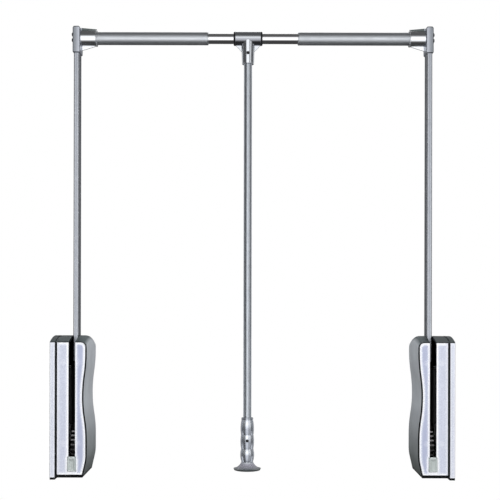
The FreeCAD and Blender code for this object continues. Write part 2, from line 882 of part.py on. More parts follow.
def lift_spring():
    # half-turn stations: the first and last turns lie close, the turns between share the rest of the height
    low = spring_seat + loose_fit / 2 + spring_wire / 2
    high = spring_top - loose_fit / 2 - spring_wire / 2
    end_pitch = spring_wire + 2 * loose_fit
    open_pitch = (high - low - 2 * end_pitch) / (spring_turns - 2)
    halves = 2 * spring_turns
    rises = [end_pitch / 2 if i < 2 or i >= halves - 2 else open_pitch / 2 for i in range(halves)]
    heights = [low + sum(rises[:i]) for i in range(halves + 1)]
    points = []
    tangents = []
    for i, z in enumerate(heights):
        before = rises[max(i - 1, 0)]
        after = rises[min(i, halves - 1)]
        climb = (before + after) / (2 * math.pi)
        side = math.cos(math.pi * i)
        points.append(Vector(spring_axis_x + spring_radius * side, spring_axis_y, z))
        tangents.append(Vector(0, spring_radius * side, climb).normalize())
    edges = []
    for i in range(halves):
        edges += biarc(points[i], tangents[i], points[i + 1], tangents[i + 1])
    path = Part.Wire(edges)
    profile = Part.Wire([Part.Circle(points[0], tangents[0], spring_wire / 2).toShape()])
    shell = Part.BRepOffsetAPI.MakePipeShell(path)
    shell.add(profile)
    shell.build()
    shell.makeSolid()
    print("lift spring, least gap between turns: %.2f mm" % least_gap(edges))
    return shell.shape().Solids[0]


def least_gap(edges):
    samples = []
    for edge in edges:
        samples += edge.discretize(8)[:-1]
    turn = len(samples) // spring_turns
    least = min(
        samples[i].distanceToPoint(samples[j])
        for i in range(len(samples))
        for j in range(i + turn * 3 // 4, min(i + turn * 5 // 4, len(samples)))
    )
    return least - spring_wire


# Swing arm and rail bracket

def arm_tube():
    tube = round_bar(arm_width, arm_depth, arm_bottom, arm_top, arm_round)
    bore = round_bar(
        arm_width - 2 * arm_wall, arm_depth - 2 * arm_wall, arm_bottom, arm_top, arm_round - arm_wall
    )
    x0 = arm_half_span - arm_width
    x1 = arm_half_span + arm_width
    cuts = [bore]
    cuts += [rod_x(x0, x1, 0, z, rivet_radius + seat_fit) for z in rivet_heights]
    cuts += [rod_x(x0, x1, 0, z, bracket_screw_radius + seat_fit) for z in bracket_screw_heights]
    return whole(tube.cut(cuts))


def arm_rivets():
    rivets = []
    half = arm_width / 2
    for z in rivet_heights:
        shank = rod_x(arm_half_span - half, arm_half_span + half, 0, z, rivet_radius)
        inner = rod_x(arm_half_span - half - rivet_head, arm_half_span - half, 0, z, rivet_head_radius)
        outer = rod_x(arm_half_span + half, arm_half_span + half + rivet_head, 0, z, rivet_head_radius)
        rivets.append(whole(shank.fuse([inner, outer])))
    return rivets


def bracket():
    front = -bracket_depth / 2
    cap = box(bracket_x, bracket_x + bracket_width, front, -front, bracket_bottom, bracket_top)
    crown = [e for e in edges_along(cap, Vector(0, 1, 0)) if e.BoundBox.ZMin > bracket_top - touch]
    cap = cap.makeFillet(bracket_crown_round, crown)
    rims = [
        e
        for e in cap.Edges
        if e.BoundBox.YLength < touch and e.BoundBox.ZMax > bracket_bottom + touch
    ]
    cap = cap.makeFillet(bracket_round, rims)
    foot = [e for e in cap.Edges if e.BoundBox.ZMax < bracket_bottom + touch]
    cap = cap.makeChamfer(bracket_foot_chamfer, foot)
    barrel = rod_x(socket_end, bracket_x + sink, 0, rail_height, socket_radius)
    lip = rod_x(socket_end, socket_end + 2 * socket_lip, 0, rail_height, socket_radius + socket_lip)
    lip = lip.makeChamfer(socket_lip / 2, [e for e in lip.Edges if e.Closed])
    socket_top = rail_height + socket_radius
    socket_bottom = rail_height - socket_radius
    rib = polygon_prism(
        [
            Vector(bracket_x + sink, -rib_thickness / 2, rail_height),
            Vector(bracket_x + sink, -rib_thickness / 2, socket_top + rib_rise),
            Vector(socket_end + socket_lip, -rib_thickness / 2, socket_top + rib_end_rise),
            Vector(socket_end + socket_lip, -rib_thickness / 2, rail_height),
        ],
        Vector(0, rib_thickness, 0),
    )
    gusset = polygon_prism(
        [
            Vector(bracket_x + sink, -rib_thickness / 2, rail_height),
            Vector(socket_end + 2 * socket_lip, -rib_thickness / 2, rail_height),
            Vector(socket_end + 2 * socket_lip, -rib_thickness / 2, socket_bottom),
            Vector(bracket_x + sink, -rib_thickness / 2, socket_bottom - gusset_drop),
        ],
        Vector(0, rib_thickness, 0),
    )
    solid = cap.fuse([barrel, lip, rib, gusset])
    cuts = [
        round_bar(
            arm_width + 2 * seat_fit,
            arm_depth + 2 * seat_fit,
            bracket_bottom,
            arm_top + seat_fit,
            arm_round + seat_fit,
        )
    ]
    cuts += [rod_x(socket_end, rail_start, 0, rail_height, rail_radius + seat_fit)]
    cuts += [
        rod_x(rail_start, arm_half_span + bracket_width, 0, z, bracket_screw_radius + seat_fit)
        for z in bracket_screw_heights
    ]
    return whole(solid.cut(cuts))


def bracket_screws():
    screws = []
    seat = arm_half_span + bracket_width / 2
    for z in bracket_screw_heights:
        shank = rod_x(seat - bracket_screw, seat, 0, z, bracket_screw_radius)
        head = rod_x(seat, seat + bracket_head, 0, z, bracket_head_radius)
        rim = [e for e in head.Edges if e.BoundBox.XMin > seat + bracket_head - touch]
        head = head.makeFillet(bracket_head / 2, rim)
        key = hex_prism(seat + bracket_head - hex_depth, seat + bracket_head, 0, z, hex_radius)
        screws.append(whole(shank.fuse(head).cut(key)))
    return screws


# Telescopic rail

def rail_plug():
    plug = rod_x(rail_start - plug_length, rail_start, 0, rail_height, rail_bore - seat_fit)
    cuts = [
        rod_x(rail_start - plug_length, rail_start, 0, z, bracket_screw_radius + seat_fit)
        for z in bracket_screw_heights
    ]
    return whole(plug.cut(cuts))


def rail_tube():
    return tube_x(rail_end, rail_start, 0, rail_height, rail_radius, rail_bore)


def end_bush():
    sleeve = rod_x(rail_end, rail_end + end_bush_length, 0, rail_height, rail_bore - seat_fit)
    lip = rod_x(rail_end - end_bush_lip, rail_end, 0, rail_height, rail_radius)
    rim = [e for e in lip.Edges if e.Closed and e.BoundBox.XMax < rail_end - end_bush_lip + touch]
    lip = lip.makeFillet(end_bush_lip / 2, rim)
    bore_radius = inner_radius + running_fit
    bore = rod_x(rail_end - end_bush_lip, rail_end + end_bush_length, 0, rail_height, bore_radius)
    return whole(sleeve.fuse(lip).cut(bore))


def inner_tube():
    return tube_x(-inner_half_length, inner_half_length, 0, rail_height, inner_radius, inner_bore)


def inner_guide():
    plug = rod_x(inner_half_length - guide_plug, inner_half_length, 0, rail_height, inner_bore - seat_fit)
    collar = rod_x(
        inner_half_length, inner_half_length + guide_collar, 0, rail_height, rail_bore - running_fit
    )
    return whole(plug.fuse(collar))


# Tee, pull rod and handle

def stem_radius_at(drop):
    return tee_stem_radius + (tee_stem_tip_radius - tee_stem_radius) * drop / tee_drop


def tee():
    barrel = rod_x(tee_left + tee_flange, tee_right - tee_flange, 0, rail_height, tee_radius)
    stem = Part.makeCone(
        tee_stem_tip_radius,
        tee_stem_radius,
        tee_drop,
        Vector(pull_offset, 0, tee_bottom),
        Vector(0, 0, 1),
    )
    tip = [e for e in stem.Edges if e.Closed and e.BoundBox.ZMax < tee_bottom + touch]
    stem = stem.makeChamfer(tee_stem_chamfer, tip)
    under = rail_height - tee_radius
    reach = tee_length / 2 - tee_flange - tee_gusset_inset
    foot = stem_radius_at(tee_radius + tee_gusset)
    web = polygon_prism(
        [
            Vector(pull_offset - reach, -tee_gusset_thickness / 2, rail_height),
            Vector(pull_offset - reach, -tee_gusset_thickness / 2, under),
            Vector(pull_offset - foot, -tee_gusset_thickness / 2, under - tee_gusset),
            Vector(pull_offset + foot, -tee_gusset_thickness / 2, under - tee_gusset),
            Vector(pull_offset + reach, -tee_gusset_thickness / 2, under),
            Vector(pull_offset + reach, -tee_gusset_thickness / 2, rail_height),
        ],
        Vector(0, tee_gusset_thickness, 0),
    )
    solid = barrel.fuse([stem, web])
    cuts = [rod_x(tee_left, tee_right, 0, rail_height, tee_bore_radius)]
    cuts += [rod_z(tee_bottom, rod_top, pull_offset, 0, rod_radius + seat_fit)]
    cuts += [set_screw_hole(tee_screw_height, stem_radius_at(tee_screw_drop))]
    return whole(solid.cut(cuts))


def set_screw_hole(z, surface):
    hole = rod_y(-surface - set_head, -rod_radius + rod_wall, pull_offset, z, set_screw_radius + seat_fit)
    seat = -surface + set_screw_sink + set_head
    recess = rod_y(-surface - set_head, seat, pull_offset, z, set_head_radius + seat_fit)
    return hole.fuse(recess)


def screw_in_rod(z, surface):
    seat = -surface + set_screw_sink + set_head
    head = rod_y(seat - set_head, seat, pull_offset, z, set_head_radius)
    shank = rod_y(seat, -rod_radius + rod_wall, pull_offset, z, set_screw_radius)
    drive = box(
        pull_offset - drive_slot / 2,
        pull_offset + drive_slot / 2,
        seat - set_head,
        seat - set_head / 2,
        z - set_head_radius,
        z + set_head_radius,
    )
    return whole(head.fuse(shank).cut(drive))


def tee_bush(side):
    end = pull_offset + side * tee_length / 2
    inner = end - side * (tee_flange + tee_spigot)
    rim = end - side * tee_flange
    flange = rod_x(min(end, rim), max(end, rim), 0, rail_height, tee_radius)
    edge = [e for e in flange.Edges if e.Closed and abs(e.BoundBox.XMax - end) < touch]
    flange = flange.makeFillet(tee_flange_round, edge)
    spigot = rod_x(min(rim, inner), max(rim, inner), 0, rail_height, tee_bore_radius - seat_fit)
    bore = rod_x(tee_left, tee_right, 0, rail_height, inner_radius + running_fit)
    return whole(flange.fuse(spigot).cut(bore))


def tee_ring():
    half = tee_length / 2 - tee_flange - tee_spigot - loose_fit
    return tube_x(
        pull_offset - half, pull_offset + half, 0, rail_height, ring_radius, inner_radius + seat_fit
    )


def pull_rod():
    rod = tube_z(rod_bottom, rod_top, pull_offset, 0, rod_radius, rod_radius - rod_wall)
    cuts = [
        rod_y(-rod_radius - rod_wall, -rod_radius + 2 * rod_wall, pull_offset, z, set_screw_radius + seat_fit)
        for z in (tee_screw_height, handle_screw_height)
    ]
    return whole(rod.cut(cuts))


def handle():
    def at(r, z):
        return Vector(r, 0, z)

    collar_base = handle_top - handle_collar
    tops = [collar_base] + crease_heights[:-1]
    starts = (handle_collar_radius - handle_collar_step,) + crease_radii[:-1]
    edges = [
        line(at(0, handle_top), at(handle_collar_radius, handle_top)),
        line(at(handle_collar_radius, handle_top), at(handle_collar_radius, collar_base)),
        line(at(handle_collar_radius, collar_base), at(starts[0], collar_base)),
    ]
    for top, start, base, end, swell in zip(tops, starts, crease_heights, crease_radii, swell_radii):
        edges.append(arc(at(start, top), at(swell, (top + base) / 2), at(end, base)))
    neck = at(crease_radii[-1], crease_heights[-1])
    drop = crease_heights[-1] - flare_height
    spread = flare_radius - crease_radii[-1]
    hollow = at(crease_radii[-1] + spread * flare_bow_out, flare_height + drop * flare_bow_up)
    edges += [
        arc(neck, hollow, at(flare_radius, flare_height)),
        line(at(flare_radius, flare_height), at(foot_radius, foot_height)),
        line(at(foot_radius, foot_height), at(foot_radius - foot_rim, foot_height)),
        line(at(foot_radius - foot_rim, foot_height), at(foot_dish_radius, foot_height + foot_dish)),
        line(at(foot_dish_radius, foot_height + foot_dish), at(0, foot_height + foot_dish)),
        line(at(0, foot_height + foot_dish), at(0, handle_top)),
    ]
    grip = Part.Face(Part.Wire(edges)).revolve(Vector(0, 0, 0), Vector(0, 0, 1), 360)
    grip.translate(Vector(pull_offset, 0, 0))
    cuts = [rod_z(rod_bottom, handle_top, pull_offset, 0, rod_radius + seat_fit)]
    cuts += [set_screw_hole(handle_screw_height, swell_radii[1])]
    return whole(grip.cut(cuts))


save_pair("wall_plate", wall_plate())
save_pair("wall_trim", wall_trim())
save_pair("chassis", chassis())
save_pair("side_cover", side_cover())
save_pair("front_cover", front_cover())
save_pair("bumper", bumper())
save_pair("lock_screws", *lock_screws())
save_pair("axle", axle())
save_pair("arm_bushes", *arm_bushes())
save_pair("arm_root", arm_root())
save_pair("crank_pin", crank_pin())
save_pair("damper_body", damper_body())
save_pair("damper_screws", *damper_screws())
save_pair("damper_pinion", damper_pinion())
save_pair("plunger", plunger())
save_pair("spring_sleeve", spring_sleeve())
save_pair("arm_tube", arm_tube())
save_pair("arm_rivets", *arm_rivets())
save_pair("rail_bracket", bracket())
save_pair("bracket_screws", *bracket_screws())
save_pair("rail_plug", rail_plug())
save_pair("rail_tube", rail_tube())
save_pair("end_bush", end_bush())

# Both springs are wound the same way, so the left one is a moved copy
right_spring = lift_spring()
left_spring = right_spring.copy()
left_spring.translate(Vector(-2 * spring_axis_x, 0, 0))
save("right_lift_spring", right_spring)
save("left_lift_spring", left_spring)

save("inner_tube", inner_tube())
guide = inner_guide()
save("inner_tube_guides", guide, mirrored(guide))
save("tee_ring", tee_ring())
save("tee", tee())
save("tee_bushes", tee_bush(-1), tee_bush(1))
save("tee_screw", screw_in_rod(tee_screw_height, stem_radius_at(tee_screw_drop)))
save("pull_rod", pull_rod())
save("handle", handle())
save("handle_screw", screw_in_rod(handle_screw_height, swell_radii[1]))
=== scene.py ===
import json
import math

import bmesh
import bpy
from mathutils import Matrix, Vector


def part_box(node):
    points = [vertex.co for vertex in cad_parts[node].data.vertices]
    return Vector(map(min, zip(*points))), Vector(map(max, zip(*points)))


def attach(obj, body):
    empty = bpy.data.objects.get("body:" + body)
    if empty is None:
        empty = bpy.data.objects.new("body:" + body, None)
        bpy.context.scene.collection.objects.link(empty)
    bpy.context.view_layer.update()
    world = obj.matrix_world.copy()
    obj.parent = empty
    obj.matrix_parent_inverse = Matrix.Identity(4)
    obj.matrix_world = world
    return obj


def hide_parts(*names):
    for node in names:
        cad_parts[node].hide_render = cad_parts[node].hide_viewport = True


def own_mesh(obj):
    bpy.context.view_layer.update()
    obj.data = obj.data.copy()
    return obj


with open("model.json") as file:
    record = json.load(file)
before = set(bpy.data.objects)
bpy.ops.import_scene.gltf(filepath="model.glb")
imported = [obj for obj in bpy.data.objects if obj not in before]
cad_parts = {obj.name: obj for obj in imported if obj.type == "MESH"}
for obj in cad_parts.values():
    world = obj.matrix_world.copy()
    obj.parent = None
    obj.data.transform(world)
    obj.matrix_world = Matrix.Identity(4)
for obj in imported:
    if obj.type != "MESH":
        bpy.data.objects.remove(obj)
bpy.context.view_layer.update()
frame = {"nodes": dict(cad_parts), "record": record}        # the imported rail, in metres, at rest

sides = ("left", "right")


def boxCorners(node):
    return [Vector(corner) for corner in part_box(node)]


def boxMiddle(node):
    low, high = boxCorners(node)
    return (low + high) / 2


armLine = boxMiddle("right_arm_tube").x      # how far each arm stands from the middle


# Small helpers for building node trees

def putNode(tree, kind, inputs=None, **settings):
    # an input that is a socket is linked, any other is set
    made = tree.nodes.new("ShaderNode" + kind)
    for key, value in settings.items():
        setattr(made, key, value)
    for socket, value in (inputs or {}).items():
        if isinstance(value, bpy.types.NodeSocket):
            tree.links.new(value, made.inputs[socket])
        else:
            made.inputs[socket].default_value = value
    return made


def mathNode(tree, operation, first, second=0.0, clamp=False):
    return putNode(tree, "Math", {0: first, 1: second}, operation=operation, use_clamp=clamp).outputs[0]


def times(tree, first, second, clamp=False):
    return mathNode(tree, "MULTIPLY", first, second, clamp)


def plus(tree, first, second):
    return mathNode(tree, "ADD", first, second)


def minus(tree, first, second):
    return mathNode(tree, "SUBTRACT", first, second)


def vectorNode(tree, operation, first, second):
    return putNode(tree, "VectorMath", {0: first, 1: second}, operation=operation).outputs["Vector"]


def lengthOf(tree, vector):
    return putNode(tree, "VectorMath", {0: vector}, operation="LENGTH").outputs["Value"]


def mixColour(tree, mask, first, second):
    return putNode(tree, "Mix", {0: mask, 6: first, 7: second}, data_type="RGBA").outputs[2]


wholeRange = (0.0, 1.0)


def ramp(tree, value, reach, low=0.0, high=1.0):
    # low at the first end of reach, high at the other
    return putNode(tree, "MapRange", {0: value, 1: reach[0], 2: reach[1], 3: low, 4: high}).outputs[0]


def softStep(tree, value, reach):
    # 0 at the first end of reach, 1 at the other, smooth between
    low, high = sorted(reach)
    ends = (0.0, 1.0) if reach[0] < reach[1] else (1.0, 0.0)
    inputs = {0: value, 1: low, 2: high, 3: ends[0], 4: ends[1]}
    return putNode(tree, "MapRange", inputs, interpolation_type="SMOOTHSTEP").outputs[0]


def noise(tree, place, scale, detail, swirl=0.0):
    inputs = {"Vector": place, "Scale": scale, "Detail": detail, "Distortion": swirl}
    return putNode(tree, "TexNoise", inputs).outputs["Fac"]


def objectSpace(tree):
    return putNode(tree, "TexCoord").outputs["Object"]


def restNormal(tree):
    # the way the surface faces when the piece is at rest
    return putNode(tree, "TexCoord").outputs["Normal"]


def axisValue(tree, vector, axis):
    return putNode(tree, "SeparateXYZ", {0: vector}).outputs[axis]


def pastArm(tree, place):
    # how far outside the arm's line, alike on the left and the right
    return minus(tree, mathNode(tree, "ABSOLUTE", axisValue(tree, place, "X")), armLine)


fromSide = (0.0, 1.0, 1.0)      # directions kept by flatOffset
fromFront = (1.0, 0.0, 1.0)
fromAbove = (1.0, 1.0, 0.0)


def flatOffset(tree, place, point, kept):
    # offset from a point, as seen from one direction
    return vectorNode(tree, "MULTIPLY", vectorNode(tree, "SUBTRACT", place, point), kept)


def newGroup(name, inputs, outputs):
    kinds = {"value": "NodeSocketFloat", "vector": "NodeSocketVector"}
    tree = bpy.data.node_groups.new(name, "ShaderNodeTree")
    for label, kind in inputs.items():
        tree.interface.new_socket(name=label, in_out="INPUT", socket_type=kinds[kind])
    for label, kind in outputs.items():
        tree.interface.new_socket(name=label, in_out="OUTPUT", socket_type=kinds[kind])
    source = tree.nodes.new("NodeGroupInput").outputs
    sink = tree.nodes.new("NodeGroupOutput").inputs
    return tree, source, sink


def placeGroup(tree, group, **inputs):
    return putNode(tree, "Group", inputs, node_tree=group).outputs


# Effects that several finishes share, each a node group

grainSet = {"pitDetail": 4.0, "driftScale": 23.0, "driftDetail": 3.0}


def buildMouldGrain():
    # spark-eroded mould texture with a slow drift in tone
    tree, source, sink = newGroup(
        "mouldGrain", {"Place": "vector", "Fineness": "value"}, {"Height": "value", "Tone": "value"}
    )
    place, fineness = source["Place"], source["Fineness"]
    cells = putNode(tree, "TexVoronoi", {"Vector": place, "Scale": fineness}, feature="SMOOTH_F1")
    pits = noise(tree, place, fineness, grainSet["pitDetail"])
    tree.links.new(plus(tree, cells.outputs["Distance"], pits), sink["Height"])
    tree.links.new(noise(tree, place, grainSet["driftScale"], grainSet["driftDetail"]), sink["Tone"])
    return tree


drawnSet = {"fineDetail": 5.0, "broadShare": 0.12, "broadDetail": 2.0}


def buildDrawnLines():
    # fine lines left by drawing or brushing; Squeeze is small along the lines
    tree, source, sink = newGroup(
        "drawnLines",
        {"Place": "vector", "Squeeze": "vector", "Fineness": "value"},
        {"Lines": "value", "Streaks": "value"},
    )
    stretched = vectorNode(tree, "MULTIPLY", source["Place"], source["Squeeze"])
    tree.links.new(noise(tree, stretched, source["Fineness"], drawnSet["fineDetail"]), sink["Lines"])
    broadScale = times(tree, source["Fineness"], drawnSet["broadShare"])
    tree.links.new(noise(tree, stretched, broadScale, drawnSet["broadDetail"]), sink["Streaks"])
    return tree


bevelSamples = 6


def bevelNormal(tree, radius):
    return putNode(tree, "Bevel", {"Radius": radius}, samples=bevelSamples).outputs["Normal"]


def buildEasedEdge():
    # normal that rounds sharp arrises over Radius
    tree, source, sink = newGroup("easedEdge", {"Radius": "value"}, {"Normal": "vector"})
    tree.links.new(bevelNormal(tree, source["Radius"]), sink["Normal"])
    return tree


rubSet = {"patchScale": 140.0, "patchDetail": 5.0, "patchReach": (0.42, 0.62)}


def buildEdgeRub():
    # where the finish is thin or cut bright along edges; Whole closes the gaps in the line, so that a
    # whole line is a painted highlight; Sharp and Flat say how far the softened normal has to turn
    tree, source, sink = newGroup(
        "edgeRub",
        {"Place": "vector", "Width": "value", "Amount": "value", "Whole": "value", "Sharp": "value",
         "Flat": "value"},
        {"Mask": "value"},
    )
    face = putNode(tree, "NewGeometry").outputs["Normal"]
    facing = putNode(tree, "VectorMath", {0: bevelNormal(tree, source["Width"]), 1: face},
                     operation="DOT_PRODUCT").outputs["Value"]
    edge = ramp(tree, facing, (source["Sharp"], source["Flat"]), 1.0, 0.0)
    patches = noise(tree, source["Place"], rubSet["patchScale"], rubSet["patchDetail"])
    broken = mathNode(tree, "MAXIMUM", ramp(tree, patches, rubSet["patchReach"]), source["Whole"])
    rubbed = times(tree, edge, broken)
    tree.links.new(times(tree, rubbed, source["Amount"], clamp=True), sink["Mask"])
    return tree


dustSet = {"shelfTurn": (0.35, 0.95), "speckScale": 420.0, "speckDetail": 6.0, "cloudScale": 31.0,
           "cloudDetail": 2.0, "laidReach": (0.1, 0.45), "thinnest": 0.2}


def buildDustFilm():
    # light dust on what faces up at rest
    tree, source, sink = newGroup("dustFilm", {"Place": "vector", "Amount": "value"}, {"Mask": "value"})
    shelf = ramp(tree, axisValue(tree, restNormal(tree), "Z"), dustSet["shelfTurn"])
    specks = noise(tree, source["Place"], dustSet["speckScale"], dustSet["speckDetail"])
    cloud = noise(tree, source["Place"], dustSet["cloudScale"], dustSet["cloudDetail"])
    laid = ramp(tree, times(tree, specks, cloud), dustSet["laidReach"], dustSet["thinnest"])
    film = times(tree, shelf, laid)
    tree.links.new(times(tree, film, source["Amount"], clamp=True), sink["Mask"])
    return tree


flakeSet = {"peelScale": 260.0, "peelDetail": 2.0}


def buildMetalFlake():
    # flakes of a silver paint, each with its own brightness, and the orange peel of its surface
    tree, source, sink = newGroup(
        "metalFlake", {"Place": "vector", "Fineness": "value"}, {"Sparkle": "value", "Height": "value"}
    )
    flakes = putNode(tree, "TexVoronoi", {"Vector": source["Place"], "Scale": source["Fineness"]})
    colour = putNode(tree, "SeparateColor", {0: flakes.outputs["Color"]})
    tree.links.new(colour.outputs[0], sink["Sparkle"])
    peel = noise(tree, source["Place"], flakeSet["peelScale"], flakeSet["peelDetail"])
    tree.links.new(peel, sink["Height"])
    return tree


marksSet = {"smearScale": 38.0, "smearDetail": 4.0, "smearSwirl": 1.2, "smearReach": (0.45, 0.75),
            "scuffScale": 330.0, "scuffDetail": 6.0, "scuffSwirl": 3.0, "scuffReach": (0.62, 0.7)}


def buildHandMarks():
    # smears and hairline scuffs from use
    tree, source, sink = newGroup("handMarks", {"Place": "vector"}, {"Smear": "value", "Scuff": "value"})
    for mark in ("smear", "scuff"):
        cloud = noise(tree, source["Place"], marksSet[mark + "Scale"], marksSet[mark + "Detail"],
                      marksSet[mark + "Swirl"])
        tree.links.new(ramp(tree, cloud, marksSet[mark + "Reach"]), sink[mark.capitalize()])
    return tree


mouldGrain = buildMouldGrain()
drawnLines = buildDrawnLines()
easedEdge = buildEasedEdge()
edgeRub = buildEdgeRub()
dustFilm = buildDustFilm()
metalFlake = buildMetalFlake()
handMarks = buildHandMarks()
print("shared effects built")


# Finishes. In every look, base and pale are its two tones, edge is the softened arris and relief the
# depth of the bump, in metres, and fineness is how many grains, lines or flakes go to a metre

def newFinish(name, uniform):
    made = bpy.data.materials.new(name)
    made.use_nodes = True
    tree = made.node_tree
    shader = tree.nodes["Principled BSDF"]
    for socket, value in uniform.items():
        shader.inputs[socket].default_value = value
    return made, tree, shader


def feed(tree, shader, **sources):
    names = {"colour": "Base Color", "rough": "Roughness", "metal": "Metallic", "coat": "Coat Weight"}
    for key, socket in sources.items():
        tree.links.new(socket, shader.inputs[names[key]])


def setBump(tree, shader, height, look, strength):
    eased = placeGroup(tree, easedEdge, Radius=look["edge"])["Normal"]
    bump = putNode(tree, "Bump", {"Height": height, "Distance": look["relief"], "Strength": strength,
                                  "Normal": eased})
    tree.links.new(bump.outputs["Normal"], shader.inputs["Normal"])


usualTurn = (0.7, 0.98)      # how far the softened normal turns at a sharp edge and on a flat face


def rubMask(tree, place, width, amount, whole=0.0, turn=usualTurn):
    return placeGroup(tree, edgeRub, Place=place, Width=width, Amount=amount, Whole=whole, Sharp=turn[0],
                      Flat=turn[1])["Mask"]


def twoTone(tree, value, reach, look):
    return mixColour(tree, ramp(tree, value, reach), look["base"], look["pale"])


def dusted(tree, place, colour, look):
    dust = placeGroup(tree, dustFilm, Place=place, Amount=look["dusty"])["Mask"]
    return mixColour(tree, dust, colour, look["dust"])


def smeared(tree, place, rough, share):
    # fingermarks dull the finish
    smear = placeGroup(tree, handMarks, Place=place)["Smear"]
    return plus(tree, rough, times(tree, smear, share))


# the inner colour is a painted shade on the half towards the middle, which ends over its reach; the
# painted highlight along the edges drops to its share at the trim over trimReach; both reaches are
# metres outside the arm's line
silverCoverLook = {
    "base": (0.46, 0.485, 0.59, 1), "pale": (0.60, 0.63, 0.73, 1), "toneReach": (0.45, 0.85),
    "squeeze": (1.0, 1.0, 0.012), "fineness": 1900.0, "streakShare": 0.4,
    "mottle": 520.0, "mottleShare": 0.5,
    "inner": (0.38, 0.41, 0.55, 1), "innerShare": 0.85, "innerReach": (-0.0070, -0.0050),
    "rub": (0.98, 0.99, 1.0, 1), "edgeWidth": 0.009, "edgeTurn": (0.94, 0.9985),
    "rubAtTrim": 0.5, "trimReach": (0.0235, 0.0245), "dust": (0.50, 0.50, 0.52, 1), "dusty": 0.35,
    "metallic": 0.75, "specular": 0.5, "rough": (0.36, 0.46), "lineReach": (0.3, 0.7),
    "relief": 0.00004, "edge": 0.0006, "strength": 0.5,
}


def makeSilverCover():
    # fine-blasted anodised sheet with faint upright rolling lines, a painted highlight along its edges and
    # painted shade on its inner half
    look = silverCoverLook
    made, tree, shader = newFinish(
        "silverCover", {"Metallic": look["metallic"], "Specular IOR Level": look["specular"]}
    )
    place = objectSpace(tree)
    outside = pastArm(tree, place)
    lines = placeGroup(tree, drawnLines, Place=place, Squeeze=look["squeeze"], Fineness=look["fineness"])
    grain = placeGroup(tree, mouldGrain, Place=place, Fineness=look["mottle"])
    tone = plus(tree, times(tree, lines["Streaks"], look["streakShare"]),
                times(tree, grain["Height"], look["mottleShare"]))
    colour = twoTone(tree, tone, look["toneReach"], look)
    # painted shade on the half towards the middle
    inner = ramp(tree, outside, look["innerReach"], look["innerShare"], 0.0)
    colour = mixColour(tree, inner, colour, look["inner"])
    # painted highlight, whole along every edge and weaker next to the trim
    rub = rubMask(tree, place, look["edgeWidth"], amount=1.0, whole=1.0, turn=look["edgeTurn"])
    rub = times(tree, rub, ramp(tree, outside, look["trimReach"], 1.0, look["rubAtTrim"]))
    colour = mixColour(tree, rub, colour, look["rub"])
    rough = ramp(tree, lines["Lines"], look["lineReach"], *look["rough"])
    feed(tree, shader, colour=dusted(tree, place, colour, look), rough=rough)
    setBump(tree, shader, lines["Lines"], look, look["strength"])
    return made


mouldedSet = {"rubWidth": 0.0012, "toneReach": (0.35, 0.65), "roughReach": (0.4, 1.2), "roughBelow": 0.05,
              "roughAbove": 0.08, "strength": 0.6}


def mouldedBase(tree, shader, look):
    # what moulded and coated pieces share: a fine grain, two tones and rubbed edges
    place = objectSpace(tree)
    grain = placeGroup(tree, mouldGrain, Place=place, Fineness=look["fineness"])
    colour = twoTone(tree, grain["Tone"], mouldedSet["toneReach"], look)
    rub = rubMask(tree, place, mouldedSet["rubWidth"], look["rubbed"])
    colour = mixColour(tree, rub, colour, look["rub"])
    smooth = look["rough"] - mouldedSet["roughBelow"]
    coarse = look["rough"] + mouldedSet["roughAbove"]
    feed(tree, shader, rough=ramp(tree, grain["Height"], mouldedSet["roughReach"], smooth, coarse))
    setBump(tree, shader, grain["Height"], look, mouldedSet["strength"])
    return place, colour


def makePlastic(name, look):
    made, tree, shader = newFinish(name, {"Metallic": 0.0, "Specular IOR Level": look["specular"]})
    place, colour = mouldedBase(tree, shader, look)
    feed(tree, shader, colour=dusted(tree, place, colour, look))
    return made


charcoalLook = {
    "base": (0.004, 0.0045, 0.005, 1), "pale": (0.007, 0.008, 0.009, 1), "fineness": 1500.0,
    "rub": (0.02, 0.022, 0.024, 1), "rubbed": 0.3, "dust": (0.075, 0.092, 0.097, 1), "dusty": 0.7,
    "rough": 0.45, "specular": 0.05, "relief": 0.00005, "edge": 0.0007,
}
blackPlasticLook = {
    "base": (0.018, 0.018, 0.020, 1), "pale": (0.026, 0.026, 0.028, 1), "fineness": 1700.0,
    "rub": (0.07, 0.07, 0.07, 1), "rubbed": 0.5, "dust": (0.14, 0.14, 0.13, 1), "dusty": 0.25,
    "rough": 0.42, "specular": 0.5, "relief": 0.00004, "edge": 0.0005,
}
darkPlasticLook = {
    "base": (0.004, 0.004, 0.005, 1), "pale": (0.007, 0.007, 0.008, 1), "fineness": 900.0,
    "rub": (0.02, 0.02, 0.02, 1), "rubbed": 0.4, "dust": (0.04, 0.04, 0.04, 1), "dusty": 0.2,
    "rough": 0.30, "specular": 0.1, "relief": 0.00002, "edge": 0.0005,
}
acetalLook = {
    "base": (0.70, 0.70, 0.66, 1), "pale": (0.78, 0.78, 0.74, 1), "fineness": 800.0,
    "rub": (0.55, 0.55, 0.53, 1), "rubbed": 0.3, "dust": (0.50, 0.49, 0.46, 1), "dusty": 0.15,
    "rough": 0.38, "specular": 0.45, "relief": 0.00002, "edge": 0.0004,
}
blackScrewLook = {
    "base": (0.005, 0.005, 0.006, 1), "pale": (0.009, 0.009, 0.010, 1), "fineness": 2600.0,
    "rub": (0.08, 0.08, 0.08, 1), "rubbed": 0.4, "dust": (0.05, 0.05, 0.05, 1), "dusty": 0.1,
    "rough": 0.32, "specular": 0.15, "relief": 0.00002, "edge": 0.0003,
}
# the foot colour is a painted shade, darker towards the bottom
greyCoverLook = {
    "base": (0.265, 0.280, 0.300, 1), "pale": (0.300, 0.318, 0.340, 1), "fineness": 1300.0,
    "rub": (0.40, 0.42, 0.44, 1), "rubbed": 0.5, "foot": (0.056, 0.066, 0.062, 1), "footReach": (0.0, 0.14),
    "crown": (0.034, 0.043, 0.046, 1), "crownTurn": (0.1, 0.75),
    "rough": 0.55, "specular": 0.15, "relief": 0.00006, "edge": 0.0006,
}


